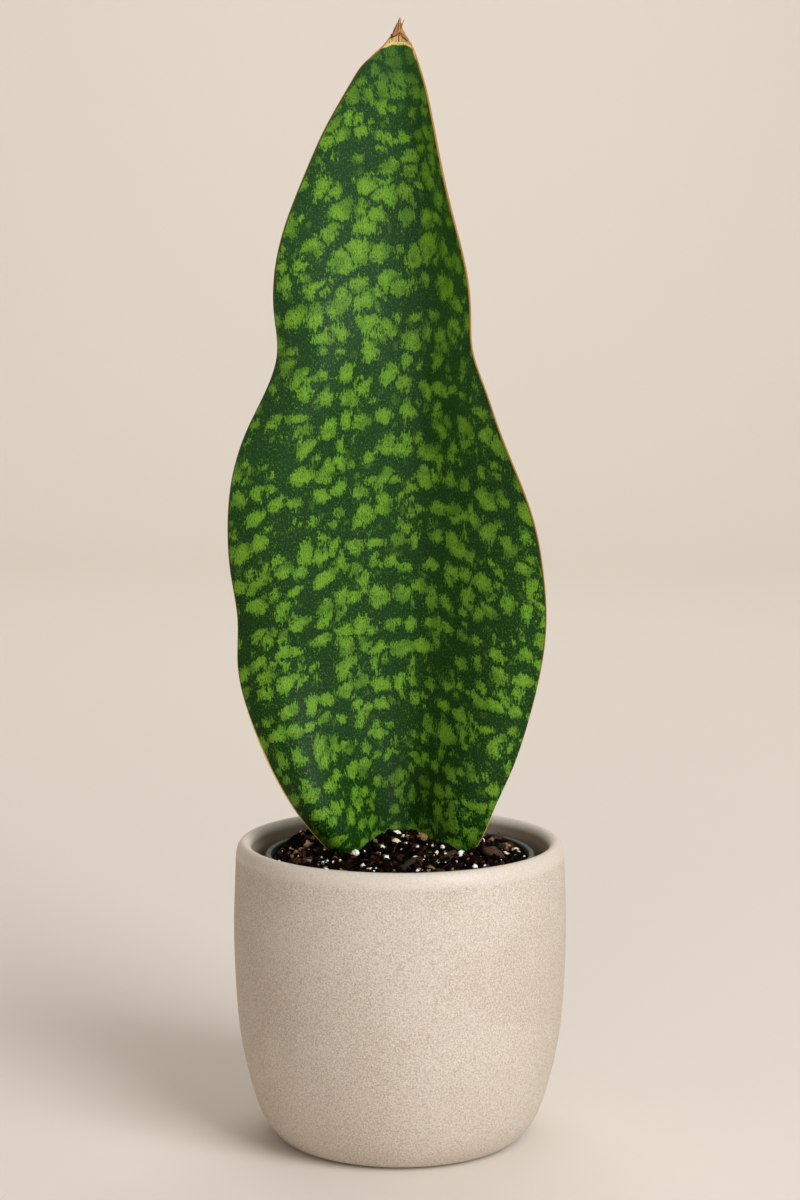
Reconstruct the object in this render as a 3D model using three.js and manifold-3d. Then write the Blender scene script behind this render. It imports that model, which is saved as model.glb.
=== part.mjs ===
// Potted whale fin snake plant: one broad, channelled, wavy leaf that stands in a grow pot of potting mix,
// and the grow pot stands inside a stoneware cover pot.
// Millimetres, +Z up. The origin is the centre of the cover pot's foot, on the surface it stands on.
// -Y is the side that the leaf's channel opens to, and +X is to the right as seen from there.
import * as THREE from "three";
import { mergeVertices } from "three/addons/utils/BufferGeometryUtils.js";
import Module from "manifold-3d";

const wasm = await Module();
wasm.setup();

// Driving dimensions

const GAP = 0.3; // between a piece and the hole or wall that is shaped round it
const GOLDEN_ANGLE = Math.PI * (3 - Math.sqrt(5)); // a turn that spreads points evenly round a disc

const COVER = {
  height: 136,
  rimRadius: 74, // outside, just under the rounded rim
  crestRadius: 70.4, // the highest circle of the rim
  lipRadius: 67, // the inner edge of the rim
  rimDrop: 7, // from the crest down to where the outside wall begins
  lipDrop: 4,
  floor: 9, // height of the inside floor
  footRadius: 50,
  footInnerRadius: 43,
  footRecess: 2, // how far the middle of the underside stands clear
  // Radius and height up the outside, from the foot's rounded edge past the widest place to the rim.
  outside: [[56, 2.6], [62.9, 12], [68.2, 28], [72.6, 50], [74.5, 75], [75, 100], [74, 129]],
  // The same down the inside, from the lip to the floor.
  inside: [[67, 132], [67.4, 104], [66.8, 75], [64.8, 50], [60.4, 28], [55, 14.5], [47, 9]],
  segments: 60,
};

const LINER = {
  bottom: COVER.floor,
  top: 130,
  rimRadius: 61,
  rimHeight: 6.5,
  rimWall: 1.1,
  rimBevel: [0.9, 1.2], // how far its outer edge is cut back inwards and down
  rimStep: 0.6, // the ledge at its inner edge
  wall: 1.3,
  floorThickness: 1.75,
  floorRound: 1.5, // where the wall turns into the floor
  footRadius: 43,
  neckRadius: 59.4, // outside, where the wall meets the rim
  holes: 8,
  holeRadius: 4.5,
  holeCircle: 31,
  middleHoleRadius: 6,
  segments: 48,
};

const SOIL = {
  edgeHeight: 126.5,
  moundHeight: 11.5,
  moundY: 18, // the mound lies behind the middle, round the leaf's base
  moundWidth: 50,
  moundDepth: 42,
  levelling: 0.5, // share of the mound that is lost at the grow pot's wall
  heapHeight: 3.2, // a small heap at the back left, against the wall
  heapX: -44,
  heapY: 32,
  heapWidth: 17,
  roughness: 0.7,
  rings: 15,
  sectors: 52,
};

const LUMP_REACH = 1.3; // how far a granule may reach from its middle, as a share of its size

// Loose granules on the soil: how many, how large, and how far they stand out, as a share of their size. The noted
// ones can be told apart from the front: how far right and back each lies, and its radius.
const PERLITE = {
  count: 34,
  least: 0.7,
  most: 1.6,
  raised: 0.45,
  flatness: 0.8,
  noted: [[-28.8, -11.8, 1.4], [-19.6, -14.5, 1.5], [-5.8, -18.5, 1.3], [-33.8, -19.2, 1.2], [-1.4, 8.1, 1.5],
    [-1.6, -1.2, 1.9], [8.1, -5, 1.1], [11.4, -7.1, 1], [19.1, -7.6, 1.3], [16.5, -13.6, 1.3], [20.7, -15.3, 1],
    [26.8, -14.8, 1.6], [6.9, -22.6, 1.5], [10.4, -19.7, 0.8], [16.8, -24.3, 0.9], [33.2, -25.1, 1.5],
    [37.6, -23.3, 0.8], [48, -1.4, 1.2], [45.8, -17.8, 0.9], [-13.2, -27.5, 0.7], [-26.7, -18.3, 0.7],
    [38, 17.1, 1.1], [7.7, -34.9, 0.7], [-41.9, 10.5, 2.2], [-44.8, 3.9, 1.2], [-49.1, 7.5, 1.1]],
};
const BARK = {
  count: 16,
  least: 1.6,
  most: 3.4,
  raised: 0.1,
  flatness: 0.55,
  noted: [[3.5, -30.4, 3.4], [42.2, -7.2, 3.8], [47, 11.6, 2.4], [-5.1, -25.9, 1.7]],
};

// The leaf, by height. Each list holds [height, value] pairs, and a smooth curve runs through them.
const LEAF = {
  foot: 92, // the stalk's lower end, inside the rhizome
  tip: 500,
  // The two margins and the midrib, to the right of the pot's middle.
  leftX: [[92, -7], [108, -12], [122, -23], [134, -33.7], [148, -44.7], [166, -56.1], [190, -66.9],
    [214, -72.8], [236, -72.8], [255, -75.4], [277, -76.6], [298, -74.7], [320, -68], [342, -57.7],
    [354, -54.6], [372, -55.9], [387, -55.8], [406, -52.1], [430, -43.1], [455, -31.6], [473, -21.1],
    [480, -16.2], [484.6, -11.1], [488.2, -7], [491, -4.8], [494, -3], [500, -0.3]],
  rightX: [[92, 13], [108, 17], [122, 27], [134, 35.8], [148, 41.5], [168, 50.1], [190, 57.3], [212, 62.4],
    [236, 64.9], [258, 63.3], [280, 59.1], [300, 52], [320, 43.8], [340, 36.8], [356, 31.6], [372, 30.7],
    [390, 28.8], [412, 23.5], [435, 18.1], [460, 13.3], [476, 9.5], [483, 7.3], [488.6, 5.1], [492.4, 2.7],
    [495, 1.2], [500, 0.2]],
  middleX: [[92, 1.5], [134, 2], [200, 3], [260, 4], [310, 6], [350, 8], [400, 8.5], [430, 8], [455, 5], [475, 2],
    [488, 0], [500, 0]],
  // How far back the midrib and the margins lie.
  middleY: [[92, 12], [134, 14], [180, 17], [250, 18], [320, 15], [400, 14], [450, 10], [488, 3], [500, 2]],
  leftY: [[92, 12], [108, 11], [120, 5], [134, -5], [180, -2], [236, 3], [277, -2], [315, -1], [345, 6], [385, 4],
    [430, 2], [465, 1], [488, 1], [500, 2]],
  rightY: [[92, 12], [108, 11], [120, 7], [134, 2], [180, -4], [230, -10], [280, -20], [325, -24], [352, -16],
    [385, -15], [420, -9], [460, -3], [488, 1], [500, 2]],
  // How far each half swells forward between the midrib and its margin, which turns back again.
  leftSwell: [[92, 0], [108, 0.5], [120, 5], [134, 12], [180, 13], [250, 11], [300, 11], [345, 13], [385, 6],
    [430, 3], [488, 0.5], [500, 0]],
  rightSwell: [[92, 0], [108, 0.5], [120, 3], [134, 8], [180, 12], [230, 10], [290, 5], [345, 2], [385, -1], [430, -1],
    [488, 0], [500, 0]],
  // Share of a half's width over which the midrib's groove is rounded.
  groove: [[92, 0.45], [180, 0.4], [300, 0.3], [400, 0.45], [500, 0.6]],
  // Thickness at the midrib.
  thickness: [[92, 11], [112, 8.5], [134, 6.5], [180, 5], [260, 4], [350, 3.4], [430, 2.8], [470, 2.2],
    [488, 1.6], [500, 0.9]],
  marginThickness: 1.1,
  leftSwellPlace: 1.4, // above 1, the swell lies nearer the margin than the midrib
  rightSwellPlace: 1.05,
  across: 18,
  along: 58,
  crowding: 1.3, // above 1, the sections lie closer together towards the tip
};

// The second point of the split, dried tip, and the underground stem that the leaf grows from.
const PRONG = { x: 0.4, z: 495.8, height: 3.8, radius: 0.5, lean: 0.37, sides: 6 };
const RHIZOME = { x: 5, y: 13, z: 88, length: 54, thickness: 22, turn: 0.35, sides: 18 };

// Materials, with the photo's colours

const coverFinish = new THREE.MeshStandardMaterial({ color: 0xc9b9a8, roughness: 0.72, metalness: 0 });
const linerFinish = new THREE.MeshStandardMaterial({ color: 0x4a5356, roughness: 0.5, metalness: 0 });
const soilFinish = new THREE.MeshStandardMaterial({ color: 0x2a1d16, roughness: 0.95, metalness: 0 });
const leafFinish = new THREE.MeshStandardMaterial({ color: 0x2f6327, roughness: 0.42, metalness: 0 });

// Helpers

// A closed geometry as a manifold-3d solid.
function solidOf(geometry) {
  const bare = geometry.clone().deleteAttribute("normal").deleteAttribute("uv");
  const merged = mergeVertices(bare, 1e-4);
  return new wasm.Manifold(
    new wasm.Mesh({
      numProp: 3,
      vertProperties: new Float32Array(merged.attributes.position.array),
      triVerts: new Uint32Array(merged.index.array),
    }),
  );
}

// A manifold-3d solid as a geometry.
function geometryOf(solid) {
  const mesh = solid.getMesh();
  const count = mesh.numVert;
  const place = new Float32Array(count * 3);
  for (let i = 0; i < count; i++) {
    place.set(mesh.vertProperties.subarray(i * mesh.numProp, i * mesh.numProp + 3), i * 3);
  }
  const geometry = new THREE.BufferGeometry();
  geometry.setAttribute("position", new THREE.BufferAttribute(place, 3));
  geometry.setIndex(new THREE.BufferAttribute(mesh.triVerts, 1));
  geometry.computeVertexNormals();
  return geometry;
}

// The largest piece of a solid, without the scraps that a cut leaves.
function largestOf(solid) {
  return solid.decompose().sort((a, b) => b.volume() - a.volume())[0];
}

// A profile of [radius, height] pairs turned about the Z axis. It runs up the outside and down the inside.
function turned(profile, segments) {
  const points = profile.map(([radius, height]) => new THREE.Vector2(radius, height));
  return new THREE.LatheGeometry(points, segments).rotateX(Math.PI / 2);
}

// Points on a smooth curve through [radius, height] pairs.
function smooth(pairs, steps) {
  const curve = new THREE.SplineCurve(pairs.map(([radius, height]) => new THREE.Vector2(radius, height)));
  return curve.getPoints(steps).map((point) => [point.x, point.y]);
}

// Points on a quarter of an ellipse from one [radius, height] to another. It leaves the first straight up.
function quarter(from, to, steps) {
  const points = [];
  for (let i = 1; i <= steps; i++) {
    const angle = ((Math.PI / 2) * i) / steps;
    const radius = to[0] + (from[0] - to[0]) * Math.cos(angle);
    const height = from[1] + (to[1] - from[1]) * Math.sin(angle);
    points.push([radius, height]);
  }
  return points;
}

// The natural cubic curve through [place, value] pairs, as a function of the place.
function curveThrough(pairs) {
  const n = pairs.length;
  const at = pairs.map((pair) => pair[0]);
  const value = pairs.map((pair) => pair[1]);
  const bend = new Array(n).fill(0); // second derivatives
  const sweep = new Array(n).fill(0);
  for (let i = 1; i < n - 1; i++) {
    const before = at[i] - at[i - 1];
    const after = at[i + 1] - at[i];
    const share = before / (before + after);
    const pivot = share * bend[i - 1] + 2;
    const slope = (value[i + 1] - value[i]) / after - (value[i] - value[i - 1]) / before;
    bend[i] = (share - 1) / pivot;
    sweep[i] = ((6 * slope) / (before + after) - share * sweep[i - 1]) / pivot;
  }
  for (let i = n - 2; i >= 0; i--) bend[i] = i === 0 ? 0 : bend[i] * bend[i + 1] + sweep[i];
  bend[n - 1] = 0;
  return (place) => {
    let i = 0;
    while (i < n - 2 && place > at[i + 1]) i++;
    const span = at[i + 1] - at[i];
    const a = (at[i + 1] - place) / span;
    const b = 1 - a;
    const cubic = ((a ** 3 - a) * bend[i] + (b ** 3 - b) * bend[i + 1]) * (span ** 2 / 6);
    return a * value[i] + b * value[i + 1] + cubic;
  };
}

// A number from 0 to 1 that looks random and is the same on each run.
function scatter(seed) {
  const wave = Math.sin(seed * 12.9898) * 43758.5453;
  return wave - Math.floor(wave);
}

// Cover pot: one turned stoneware shell with a rounded rim and a foot ring

function coverPot() {
  const c = COVER;
  const profile = [
    [0, c.footRecess],
    [c.footInnerRadius - 1, c.footRecess],
    [c.footInnerRadius, 0],
    ...smooth([[c.footRadius, 0], ...c.outside], 13),
    ...quarter([c.rimRadius, c.height - c.rimDrop], [c.crestRadius, c.height], 4),
    ...quarter([c.lipRadius, c.height - c.lipDrop], [c.crestRadius, c.height], 3).reverse().slice(1),
    ...smooth(c.inside, 8),
    [0, c.floor],
  ];
  return turned(profile, c.segments);
}

// Grow pot: a thin tapered plastic liner with a turned-down rim and drain holes in its floor

function drainHole(radius, x, y) {
  const drill = new THREE.CylinderGeometry(radius, radius, 3 * LINER.floorThickness, 16);
  return solidOf(drill.rotateX(Math.PI / 2).translate(x, y, LINER.bottom));
}

function growPot() {
  const l = LINER;
  const inner = l.top - l.rimWall;
  const skirtInside = l.rimRadius - l.rimWall;
  const floor = l.bottom + l.floorThickness;
  const profile = [
    [0, l.bottom],
    [l.footRadius - l.floorRound, l.bottom],
    [l.footRadius, l.bottom + l.floorRound],
    [l.neckRadius, inner],
    [skirtInside, inner],
    [skirtInside, l.top - l.rimHeight],
    [l.rimRadius, l.top - l.rimHeight],
    [l.rimRadius, l.top - l.rimBevel[1]],
    [l.rimRadius - l.rimBevel[0], l.top],
    [l.neckRadius - l.wall + l.rimStep, l.top],
    [l.neckRadius - l.wall, inner],
    [l.footRadius - l.wall, floor + l.floorRound],
    [l.footRadius - l.wall - l.floorRound, floor],
    [0, floor],
  ];
  let solid = solidOf(turned(profile, l.segments)).subtract(drainHole(l.middleHoleRadius, 0, 0));
  for (let i = 0; i < l.holes; i++) {
    const angle = (2 * Math.PI * i) / l.holes;
    const x = l.holeCircle * Math.cos(angle);
    const y = l.holeCircle * Math.sin(angle);
    solid = solid.subtract(drainHole(l.holeRadius, x, y));
  }
  return geometryOf(solid);
}

// Leaf: a lofted blade. Each level section runs from the left margin, through the midrib's groove, to the right.

const leafCurves = Object.fromEntries(
  Object.entries(LEAF)
    .filter(([, value]) => Array.isArray(value))
    .map(([name, pairs]) => [name, curveThrough(pairs)]),
);

// Share of the way from the midrib to a margin, flattened at the midrib so that its groove is round.
function outwards(across, height) {
  const g = leafCurves.groove(height);
  return (Math.sqrt(across * across + g * g) - g) / (Math.sqrt(1 + g * g) - g);
}

// A point of the blade's middle surface. Across runs from -1 at the left margin to 1 at the right one.
function bladePoint(across, height) {
  const c = leafCurves;
  const side = across < 0 ? "left" : "right";
  const edgeX = c[side + "X"](height);
  const edgeY = c[side + "Y"](height);
  const swell = c[side + "Swell"](height);
  const middleX = c.middleX(height);
  const middleY = c.middleY(height);
  const out = outwards(across, height);
  const x = middleX + (edgeX - middleX) * Math.abs(across);
  const y = middleY + (edgeY - middleY) * out - swell * Math.sin(Math.PI * out ** LEAF[side + "SwellPlace"]);
  return new THREE.Vector3(x, y, height);
}

// Two directions at a point of the blade: square to it, towards the back, and along it, square to its margins.
function bladeDirections(across, height) {
  const step = 0.01;
  const left = Math.max(-1, across - step);
  const right = Math.min(1, across + step);
  const along = bladePoint(right, height).sub(bladePoint(left, height));
  const up = bladePoint(across, height + step).sub(bladePoint(across, height - step));
  const back = up.clone().cross(along).normalize();
  return { back, side: back.clone().cross(up).normalize() };
}

function bladeThickness(across, height) {
  const middle = leafCurves.thickness(height);
  const margin = Math.min(LEAF.marginThickness, middle);
  return margin + (middle - margin) * (1 - outwards(across, height) ** 2);
}

// The blade as one closed solid, with spare material all round it where a hole is cut for it.
function blade(spare) {
  const columns = LEAF.across;
  const rows = LEAF.along;
  const place = [];
  const faces = [];
  const index = (face, row, column) => (face * (rows + 1) + row) * (columns + 1) + column;
  for (const face of [-1, 1]) {
    for (let row = 0; row <= rows; row++) {
      const height = LEAF.tip - (LEAF.tip - LEAF.foot) * (1 - row / rows) ** LEAF.crowding;
      for (let column = 0; column <= columns; column++) {
        const across = Math.sin((Math.PI / 2) * ((2 * column) / columns - 1));
        const point = bladePoint(across, height);
        const half = bladeThickness(across, height) / 2 + spare;
        const { back, side } = bladeDirections(across, height);
        point.addScaledVector(back, face * half).addScaledVector(side, across * spare);
        place.push(point.x, point.y, point.z);
      }
    }
  }
  const quad = (a, b, c, d) => faces.push(a, b, c, a, c, d);
  for (let row = 0; row < rows; row++) {
    for (let column = 0; column < columns; column++) {
      const front = [[row, column], [row, column + 1], [row + 1, column + 1], [row + 1, column]];
      const [a, b, c, d] = front.map(([r, k]) => index(0, r, k));
      const [e, f, g, h] = front.map(([r, k]) => index(1, r, k));
      quad(a, b, c, d);
      faces.push(e, g, f, e, h, g);
    }
    quad(index(1, row, 0), index(0, row, 0), index(0, row + 1, 0), index(1, row + 1, 0));
    const last = columns;
    quad(index(0, row, last), index(1, row, last), index(1, row + 1, last), index(0, row + 1, last));
  }
  for (let column = 0; column < columns; column++) {
    quad(index(1, 0, column), index(1, 0, column + 1), index(0, 0, column + 1), index(0, 0, column));
    const top = [index(0, rows, column), index(0, rows, column + 1)];
    quad(top[0], top[1], index(1, rows, column + 1), index(1, rows, column));
  }
  const geometry = new THREE.BufferGeometry();
  geometry.setAttribute("position", new THREE.Float32BufferAttribute(place, 3));
  geometry.setIndex(faces);
  return solidOf(geometry);
}

function rhizome(spare) {
  const r = RHIZOME;
  const ball = new THREE.SphereGeometry(1, r.sides, r.sides / 2);
  const round = r.thickness / 2 + spare;
  ball.scale(r.length / 2 + spare, round, round);
  return solidOf(ball.rotateZ(r.turn).translate(r.x, r.y, r.z));
}

function tipProng() {
  const t = PRONG;
  const cone = new THREE.ConeGeometry(t.radius, t.height, t.sides);
  cone.rotateX(Math.PI / 2).translate(0, 0, t.height / 2).rotateY(t.lean);
  return solidOf(cone.translate(t.x, leafCurves.middleY(t.z), t.z));
}

function leaf() {
  return geometryOf(largestOf(blade(0).add(rhizome(0)).add(tipProng())));
}

// Potting mix: it fills the grow pot, is heaped round the leaf, and has perlite and bark standing out of it

function soilSurface(x, y) {
  const s = SOIL;
  const spread = (x / s.moundWidth) ** 2 + ((y - s.moundY) / s.moundDepth) ** 2;
  const outward = Math.hypot(x, y) / linerInside(s.edgeHeight);
  const mound = s.moundHeight * Math.exp(-spread) * (1 - s.levelling * outward ** 4);
  const off = Math.hypot(x - s.heapX, y - s.heapY) / s.heapWidth;
  return s.edgeHeight + mound + s.heapHeight * Math.exp(-off * off);
}

function linerInside(height) {
  const l = LINER;
  const low = l.bottom + l.floorThickness + l.floorRound;
  const share = (height - low) / (l.top - l.rimWall - low);
  return l.footRadius - l.wall + (l.neckRadius - l.footRadius) * share;
}

function soilBody() {
  const s = SOIL;
  const rim = linerInside(s.edgeHeight) - GAP;
  const floor = LINER.bottom + LINER.floorThickness;
  const foot = linerInside(floor) - GAP - LINER.floorRound;
  const place = [0, 0, soilSurface(0, 0)];
  const faces = [];
  for (let ring = 1; ring <= s.rings + 1; ring++) {
    for (let sector = 0; sector < s.sectors; sector++) {
      const angle = (2 * Math.PI * (sector + (ring % 2) / 2)) / s.sectors;
      const under = ring > s.rings;
      const radius = under ? foot : (rim * ring) / s.rings;
      const x = radius * Math.cos(angle);
      const y = radius * Math.sin(angle);
      const rough = s.roughness * (2 * scatter(ring * 131 + sector * 7) - 1);
      place.push(x, y, under ? floor : soilSurface(x, y) + rough);
    }
  }
  place.push(0, 0, floor);
  const end = place.length / 3 - 1;
  const index = (ring, sector) => 1 + (ring - 1) * s.sectors + (sector % s.sectors);
  for (let sector = 0; sector < s.sectors; sector++) {
    faces.push(0, index(1, sector), index(1, sector + 1));
    for (let ring = 1; ring <= s.rings; ring++) {
      const shift = ring % 2;
      const a = index(ring, sector);
      const b = index(ring, sector + 1);
      const c = index(ring + 1, sector + shift);
      const d = index(ring + 1, sector + 1);
      if (shift) faces.push(a, index(ring + 1, sector), d, a, d, b);
      else faces.push(a, c, b, b, c, d);
    }
    faces.push(end, index(s.rings + 1, sector + 1), index(s.rings + 1, sector));
  }
  const geometry = new THREE.BufferGeometry();
  geometry.setAttribute("position", new THREE.Float32BufferAttribute(place, 3));
  geometry.setIndex(faces);
  return solidOf(geometry);
}

// Where granule number i of a kind lies and how large it is: evenly by the golden angle, and shifted a little.
function scattered(kind, seed, i) {
  const draw = (k) => scatter(seed + i * 10 + k);
  const reach = linerInside(SOIL.edgeHeight) - GAP - LUMP_REACH * kind.most;
  const radius = reach * Math.sqrt((i + 0.3 + 0.4 * draw(1)) / kind.count);
  const angle = GOLDEN_ANGLE * i + 0.5 * draw(2) + seed;
  const size = kind.least + (kind.most - kind.least) * draw(3) ** 1.5;
  return [radius * Math.cos(angle), radius * Math.sin(angle), size];
}

// All granules of one kind as lumps of twenty faces, flattened and turned each in its own way.
function granules(kind, seed) {
  const places = [...kind.noted];
  for (let i = 0; i < kind.count; i++) places.push(scattered(kind, seed, i));
  return places.map(([x, y, size], i) => {
    const draw = (k) => scatter(seed + i * 10 + k);
    const lump = new THREE.IcosahedronGeometry(size, 0);
    lump.scale(1, 0.75 + 0.5 * draw(4), kind.flatness);
    lump.rotateX(draw(5) - 0.5).rotateY(draw(6) - 0.5).rotateZ(6 * draw(7));
    return solidOf(lump.translate(x, y, soilSurface(x, y) + size * kind.raised));
  });
}

function soil() {
  let solid = soilBody();
  for (const lump of [...granules(PERLITE, 1), ...granules(BARK, 2)]) solid = solid.add(lump);
  return geometryOf(largestOf(solid.subtract(blade(GAP)).subtract(rhizome(GAP))));
}

// Assembly

const plant = new THREE.Group();

function addPiece(name, geometry, finish) {
  const mesh = new THREE.Mesh(geometry, finish);
  mesh.name = name;
  plant.add(mesh);
}

addPiece("cover_pot", coverPot(), coverFinish);
addPiece("grow_pot", growPot(), linerFinish);
addPiece("potting_mix", soil(), soilFinish);
addPiece("leaf", leaf(), leafFinish);

export default plant;
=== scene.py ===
# %% [markdown]
# # A potted whale fin snake plant
# One broad leaf with waved margins stands in a nursery grow pot of potting mix, and the grow pot stands
# in a stoneware cover pot. The CAD model gives every size and place. Here each of its four nodes gets a
# finer piece with the same form, and a finish made of shader nodes.

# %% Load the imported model
import math

import bpy
import numpy as np
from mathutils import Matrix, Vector


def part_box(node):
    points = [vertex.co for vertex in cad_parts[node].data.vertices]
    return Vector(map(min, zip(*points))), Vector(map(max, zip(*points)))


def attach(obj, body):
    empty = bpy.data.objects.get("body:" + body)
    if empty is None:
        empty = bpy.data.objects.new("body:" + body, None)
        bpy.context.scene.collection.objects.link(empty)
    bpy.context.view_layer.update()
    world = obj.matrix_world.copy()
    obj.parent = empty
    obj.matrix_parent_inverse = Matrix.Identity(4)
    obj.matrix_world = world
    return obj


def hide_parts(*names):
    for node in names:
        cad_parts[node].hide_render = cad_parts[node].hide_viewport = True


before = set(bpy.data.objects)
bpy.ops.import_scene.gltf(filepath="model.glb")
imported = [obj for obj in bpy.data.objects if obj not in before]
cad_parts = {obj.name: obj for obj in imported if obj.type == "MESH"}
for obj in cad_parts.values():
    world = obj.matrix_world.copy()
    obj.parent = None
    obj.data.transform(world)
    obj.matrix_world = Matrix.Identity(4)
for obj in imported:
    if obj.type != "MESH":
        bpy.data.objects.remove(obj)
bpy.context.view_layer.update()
MM = 0.001

# %% [markdown]
# ## Camera
# A photographer stands about 1.2 m from a tall plant and looks down a little, so that the mix in the pot
# shows. An 80 mm lens on a 36 mm sensor keeps the leaf from leaning away. The camera's height and tilt
# were fitted to the two ellipses that the pot's rim and foot make in the picture.

# %% Camera
LENS = 80
CAMERA_DISTANCE = 1.1825
CAMERA_HEIGHT = 0.3835
CAMERA_PITCH = math.radians(6.7)

lens = bpy.data.cameras.new("camera")
lens.lens = LENS
lens.clip_end = 50
camera = bpy.data.objects.new("camera", lens)
camera.location = (0, -CAMERA_DISTANCE, CAMERA_HEIGHT)
camera.rotation_euler = (math.pi / 2 - CAMERA_PITCH, 0, 0)
bpy.context.scene.collection.objects.link(camera)
bpy.context.scene.camera = camera
print("camera", LENS, "mm at", tuple(camera.location))

# %% [markdown]
# ## Skins made of rings
# A pot, a leaf and a crumb of soil are all closed skins. Each can be described by rings of points: round
# a pot's axis, round a section of the leaf, or round a crumb. So one function makes every mesh here from
# an array of rings. It could be done with loops of bmesh calls, but whole numpy arrays are quicker and
# read like the formula.

# %% Skins made of rings
def ring_faces(bodies, rows, columns):
    """Quads between neighbouring rings and fans that close both ends, as arrays of point numbers.

    The points of a body are its rings, one after the other, and then its two ends. Column c of a ring is
    joined to column c + 1, and the last column to the first.
    """
    per_body = rows * columns + 2
    row, column = np.meshgrid(np.arange(rows - 1) * columns, np.arange(columns), indexing="ij")
    after = (column + 1) % columns
    quads = np.stack([row + column, row + after, row + after + columns, row + column + columns], -1)
    column, after = column[0], after[0]
    low = np.stack([np.full(columns, per_body - 2), after, column], -1)
    last = per_body - 2 - columns
    high = np.stack([np.full(columns, per_body - 1), column + last, after + last], -1)
    first = (np.arange(bodies) * per_body)[:, None, None]
    quads = (quads.reshape(1, -1, 4) + first).reshape(-1, 4)
    return quads, (np.concatenate([low, high])[None] + first).reshape(-1, 3)


def skin(name, rings, ends=None, **layers):
    """A mesh of closed bodies. rings[b, r, c] is point c of ring r of body b, in millimetres.

    Each ring is joined to the next by quads, and the first and last ring are closed by a fan about ends[b, 0]
    and ends[b, 1], or about their own middles. The points of a ring run anticlockwise as seen from the last
    ring, so that faces point outwards. A layer of two numbers a point becomes a UV map, and one of a single
    number becomes an attribute.
    """
    bodies, rows, columns, _ = rings.shape
    if ends is None:
        ends = rings[:, [0, -1]].mean(axis=2)
    points = np.concatenate([rings.reshape(bodies, -1, 3), ends], axis=1).reshape(-1, 3) * MM
    quads, fans = ring_faces(bodies, rows, columns)
    corners = np.concatenate([quads.ravel(), fans.ravel()])
    starts = np.concatenate([np.arange(len(quads)) * 4, len(quads) * 4 + np.arange(len(fans)) * 3])

    mesh = bpy.data.meshes.new(name)
    mesh.vertices.add(len(points))
    mesh.vertices.foreach_set("co", points.ravel())
    mesh.loops.add(len(corners))
    mesh.loops.foreach_set("vertex_index", corners)
    mesh.polygons.add(len(starts))
    mesh.polygons.foreach_set("loop_start", starts)
    mesh.update(calc_edges=True)
    mesh.polygons.foreach_set("use_smooth", np.ones(len(starts), bool))
    for layer_name, layer in layers.items():
        tips = layer[:, [0, -1]].mean(axis=2)
        values = np.concatenate([layer.reshape(bodies, rows * columns, -1), tips], axis=1)
        if values.shape[2] == 2:
            uv_map = mesh.uv_layers.new(name=layer_name)
            uv_map.data.foreach_set("uv", values.reshape(-1, 2)[corners].ravel())
        else:
            mesh.attributes.new(layer_name, "FLOAT", "POINT").data.foreach_set("value", values.ravel())
    piece = bpy.data.objects.new(name, mesh)
    bpy.context.scene.collection.objects.link(piece)
    return piece


def dress(piece, finish, node):
    """The piece rides on the part's one body and stands for a CAD node and a finish."""
    piece.data.materials.append(finish)
    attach(piece, "root")
    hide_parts(node)
    print(piece.name, "stands for", node, "and is finished in", finish.name)


# %% [markdown]
# ## Materials out of nodes
# A material is a small network. Placing each node by hand takes four lines, so one short function places
# a node, sets it, and links or fills its inputs. Numbers go straight into a socket, and an output is
# linked to it.

# %% Placing nodes
def put(tree, kind, settings, *inputs, **named):
    """One shader node. inputs fill its sockets in order, None leaves one alone, and named fills by name."""
    node = tree.nodes.new("ShaderNode" + kind)
    for key, value in settings.items():
        setattr(node, key, value)
    sockets = list(enumerate(inputs)) + [(key.replace("_", " "), value) for key, value in named.items()]
    for key, value in sockets:
        if isinstance(value, bpy.types.NodeSocket):
            tree.links.new(value, node.inputs[key])
        elif value is not None:
            node.inputs[key].default_value = value
    return node


def maths(tree, operation, *inputs):
    """A Math node's result."""
    return put(tree, "Math", {"operation": operation}, *inputs).outputs[0]


def stretch(tree, vector, scale, offset=(0, 0, 0)):
    """A vector multiplied along each axis, so that a pattern on it gets smaller, and moved."""
    return put(tree, "Mapping", {}, vector, offset, None, scale).outputs[0]


def noise(tree, vector, scale, detail=2.0, roughness=0.5):
    """Blender's noise, from 0 to 1 with most of it near the middle."""
    return put(tree, "TexNoise", {}, vector, Scale=scale, Detail=detail, Roughness=roughness).outputs["Fac"]


def remap(tree, value, low, high, to_low=0.0, to_high=1.0):
    """low to high becomes to_low to to_high, with soft ends, and stays there outside."""
    settings = {"interpolation_type": "SMOOTHSTEP"}
    return put(tree, "MapRange", settings, value, low, high, to_low, to_high).outputs[0]


def blend(tree, share, first, second):
    """One colour turning into another as share goes from 0 to 1."""
    node = put(tree, "Mix", {"data_type": "RGBA"})
    for socket, value in ((node.inputs[0], share), (node.inputs[6], first), (node.inputs[7], second)):
        if isinstance(value, bpy.types.NodeSocket):
            tree.links.new(value, socket)
        else:
            socket.default_value = value
    return node.outputs[2]


def srgb(red, green, blue):
    """A colour as read off a screen, 0 to 255, in the linear values that nodes use."""
    part = np.array([red, green, blue]) / 255
    linear = np.where(part <= 0.04045, part / 12.92, ((part + 0.055) / 1.055) ** 2.4)
    return (*linear.tolist(), 1.0)


def material(name):
    """A new material with an empty tree, its Principled BSDF and the place on the object, in millimetres."""
    made = bpy.data.materials.new(name)
    made.use_nodes = True
    tree = made.node_tree
    shader = tree.nodes["Principled BSDF"]
    place = put(tree, "TexCoord", {}).outputs["Object"]
    return made, tree, shader, stretch(tree, place, (1 / MM,) * 3)


print("a screen's 128 out of 255 is", round(srgb(128, 128, 128)[0], 3), "in a node")
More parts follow.
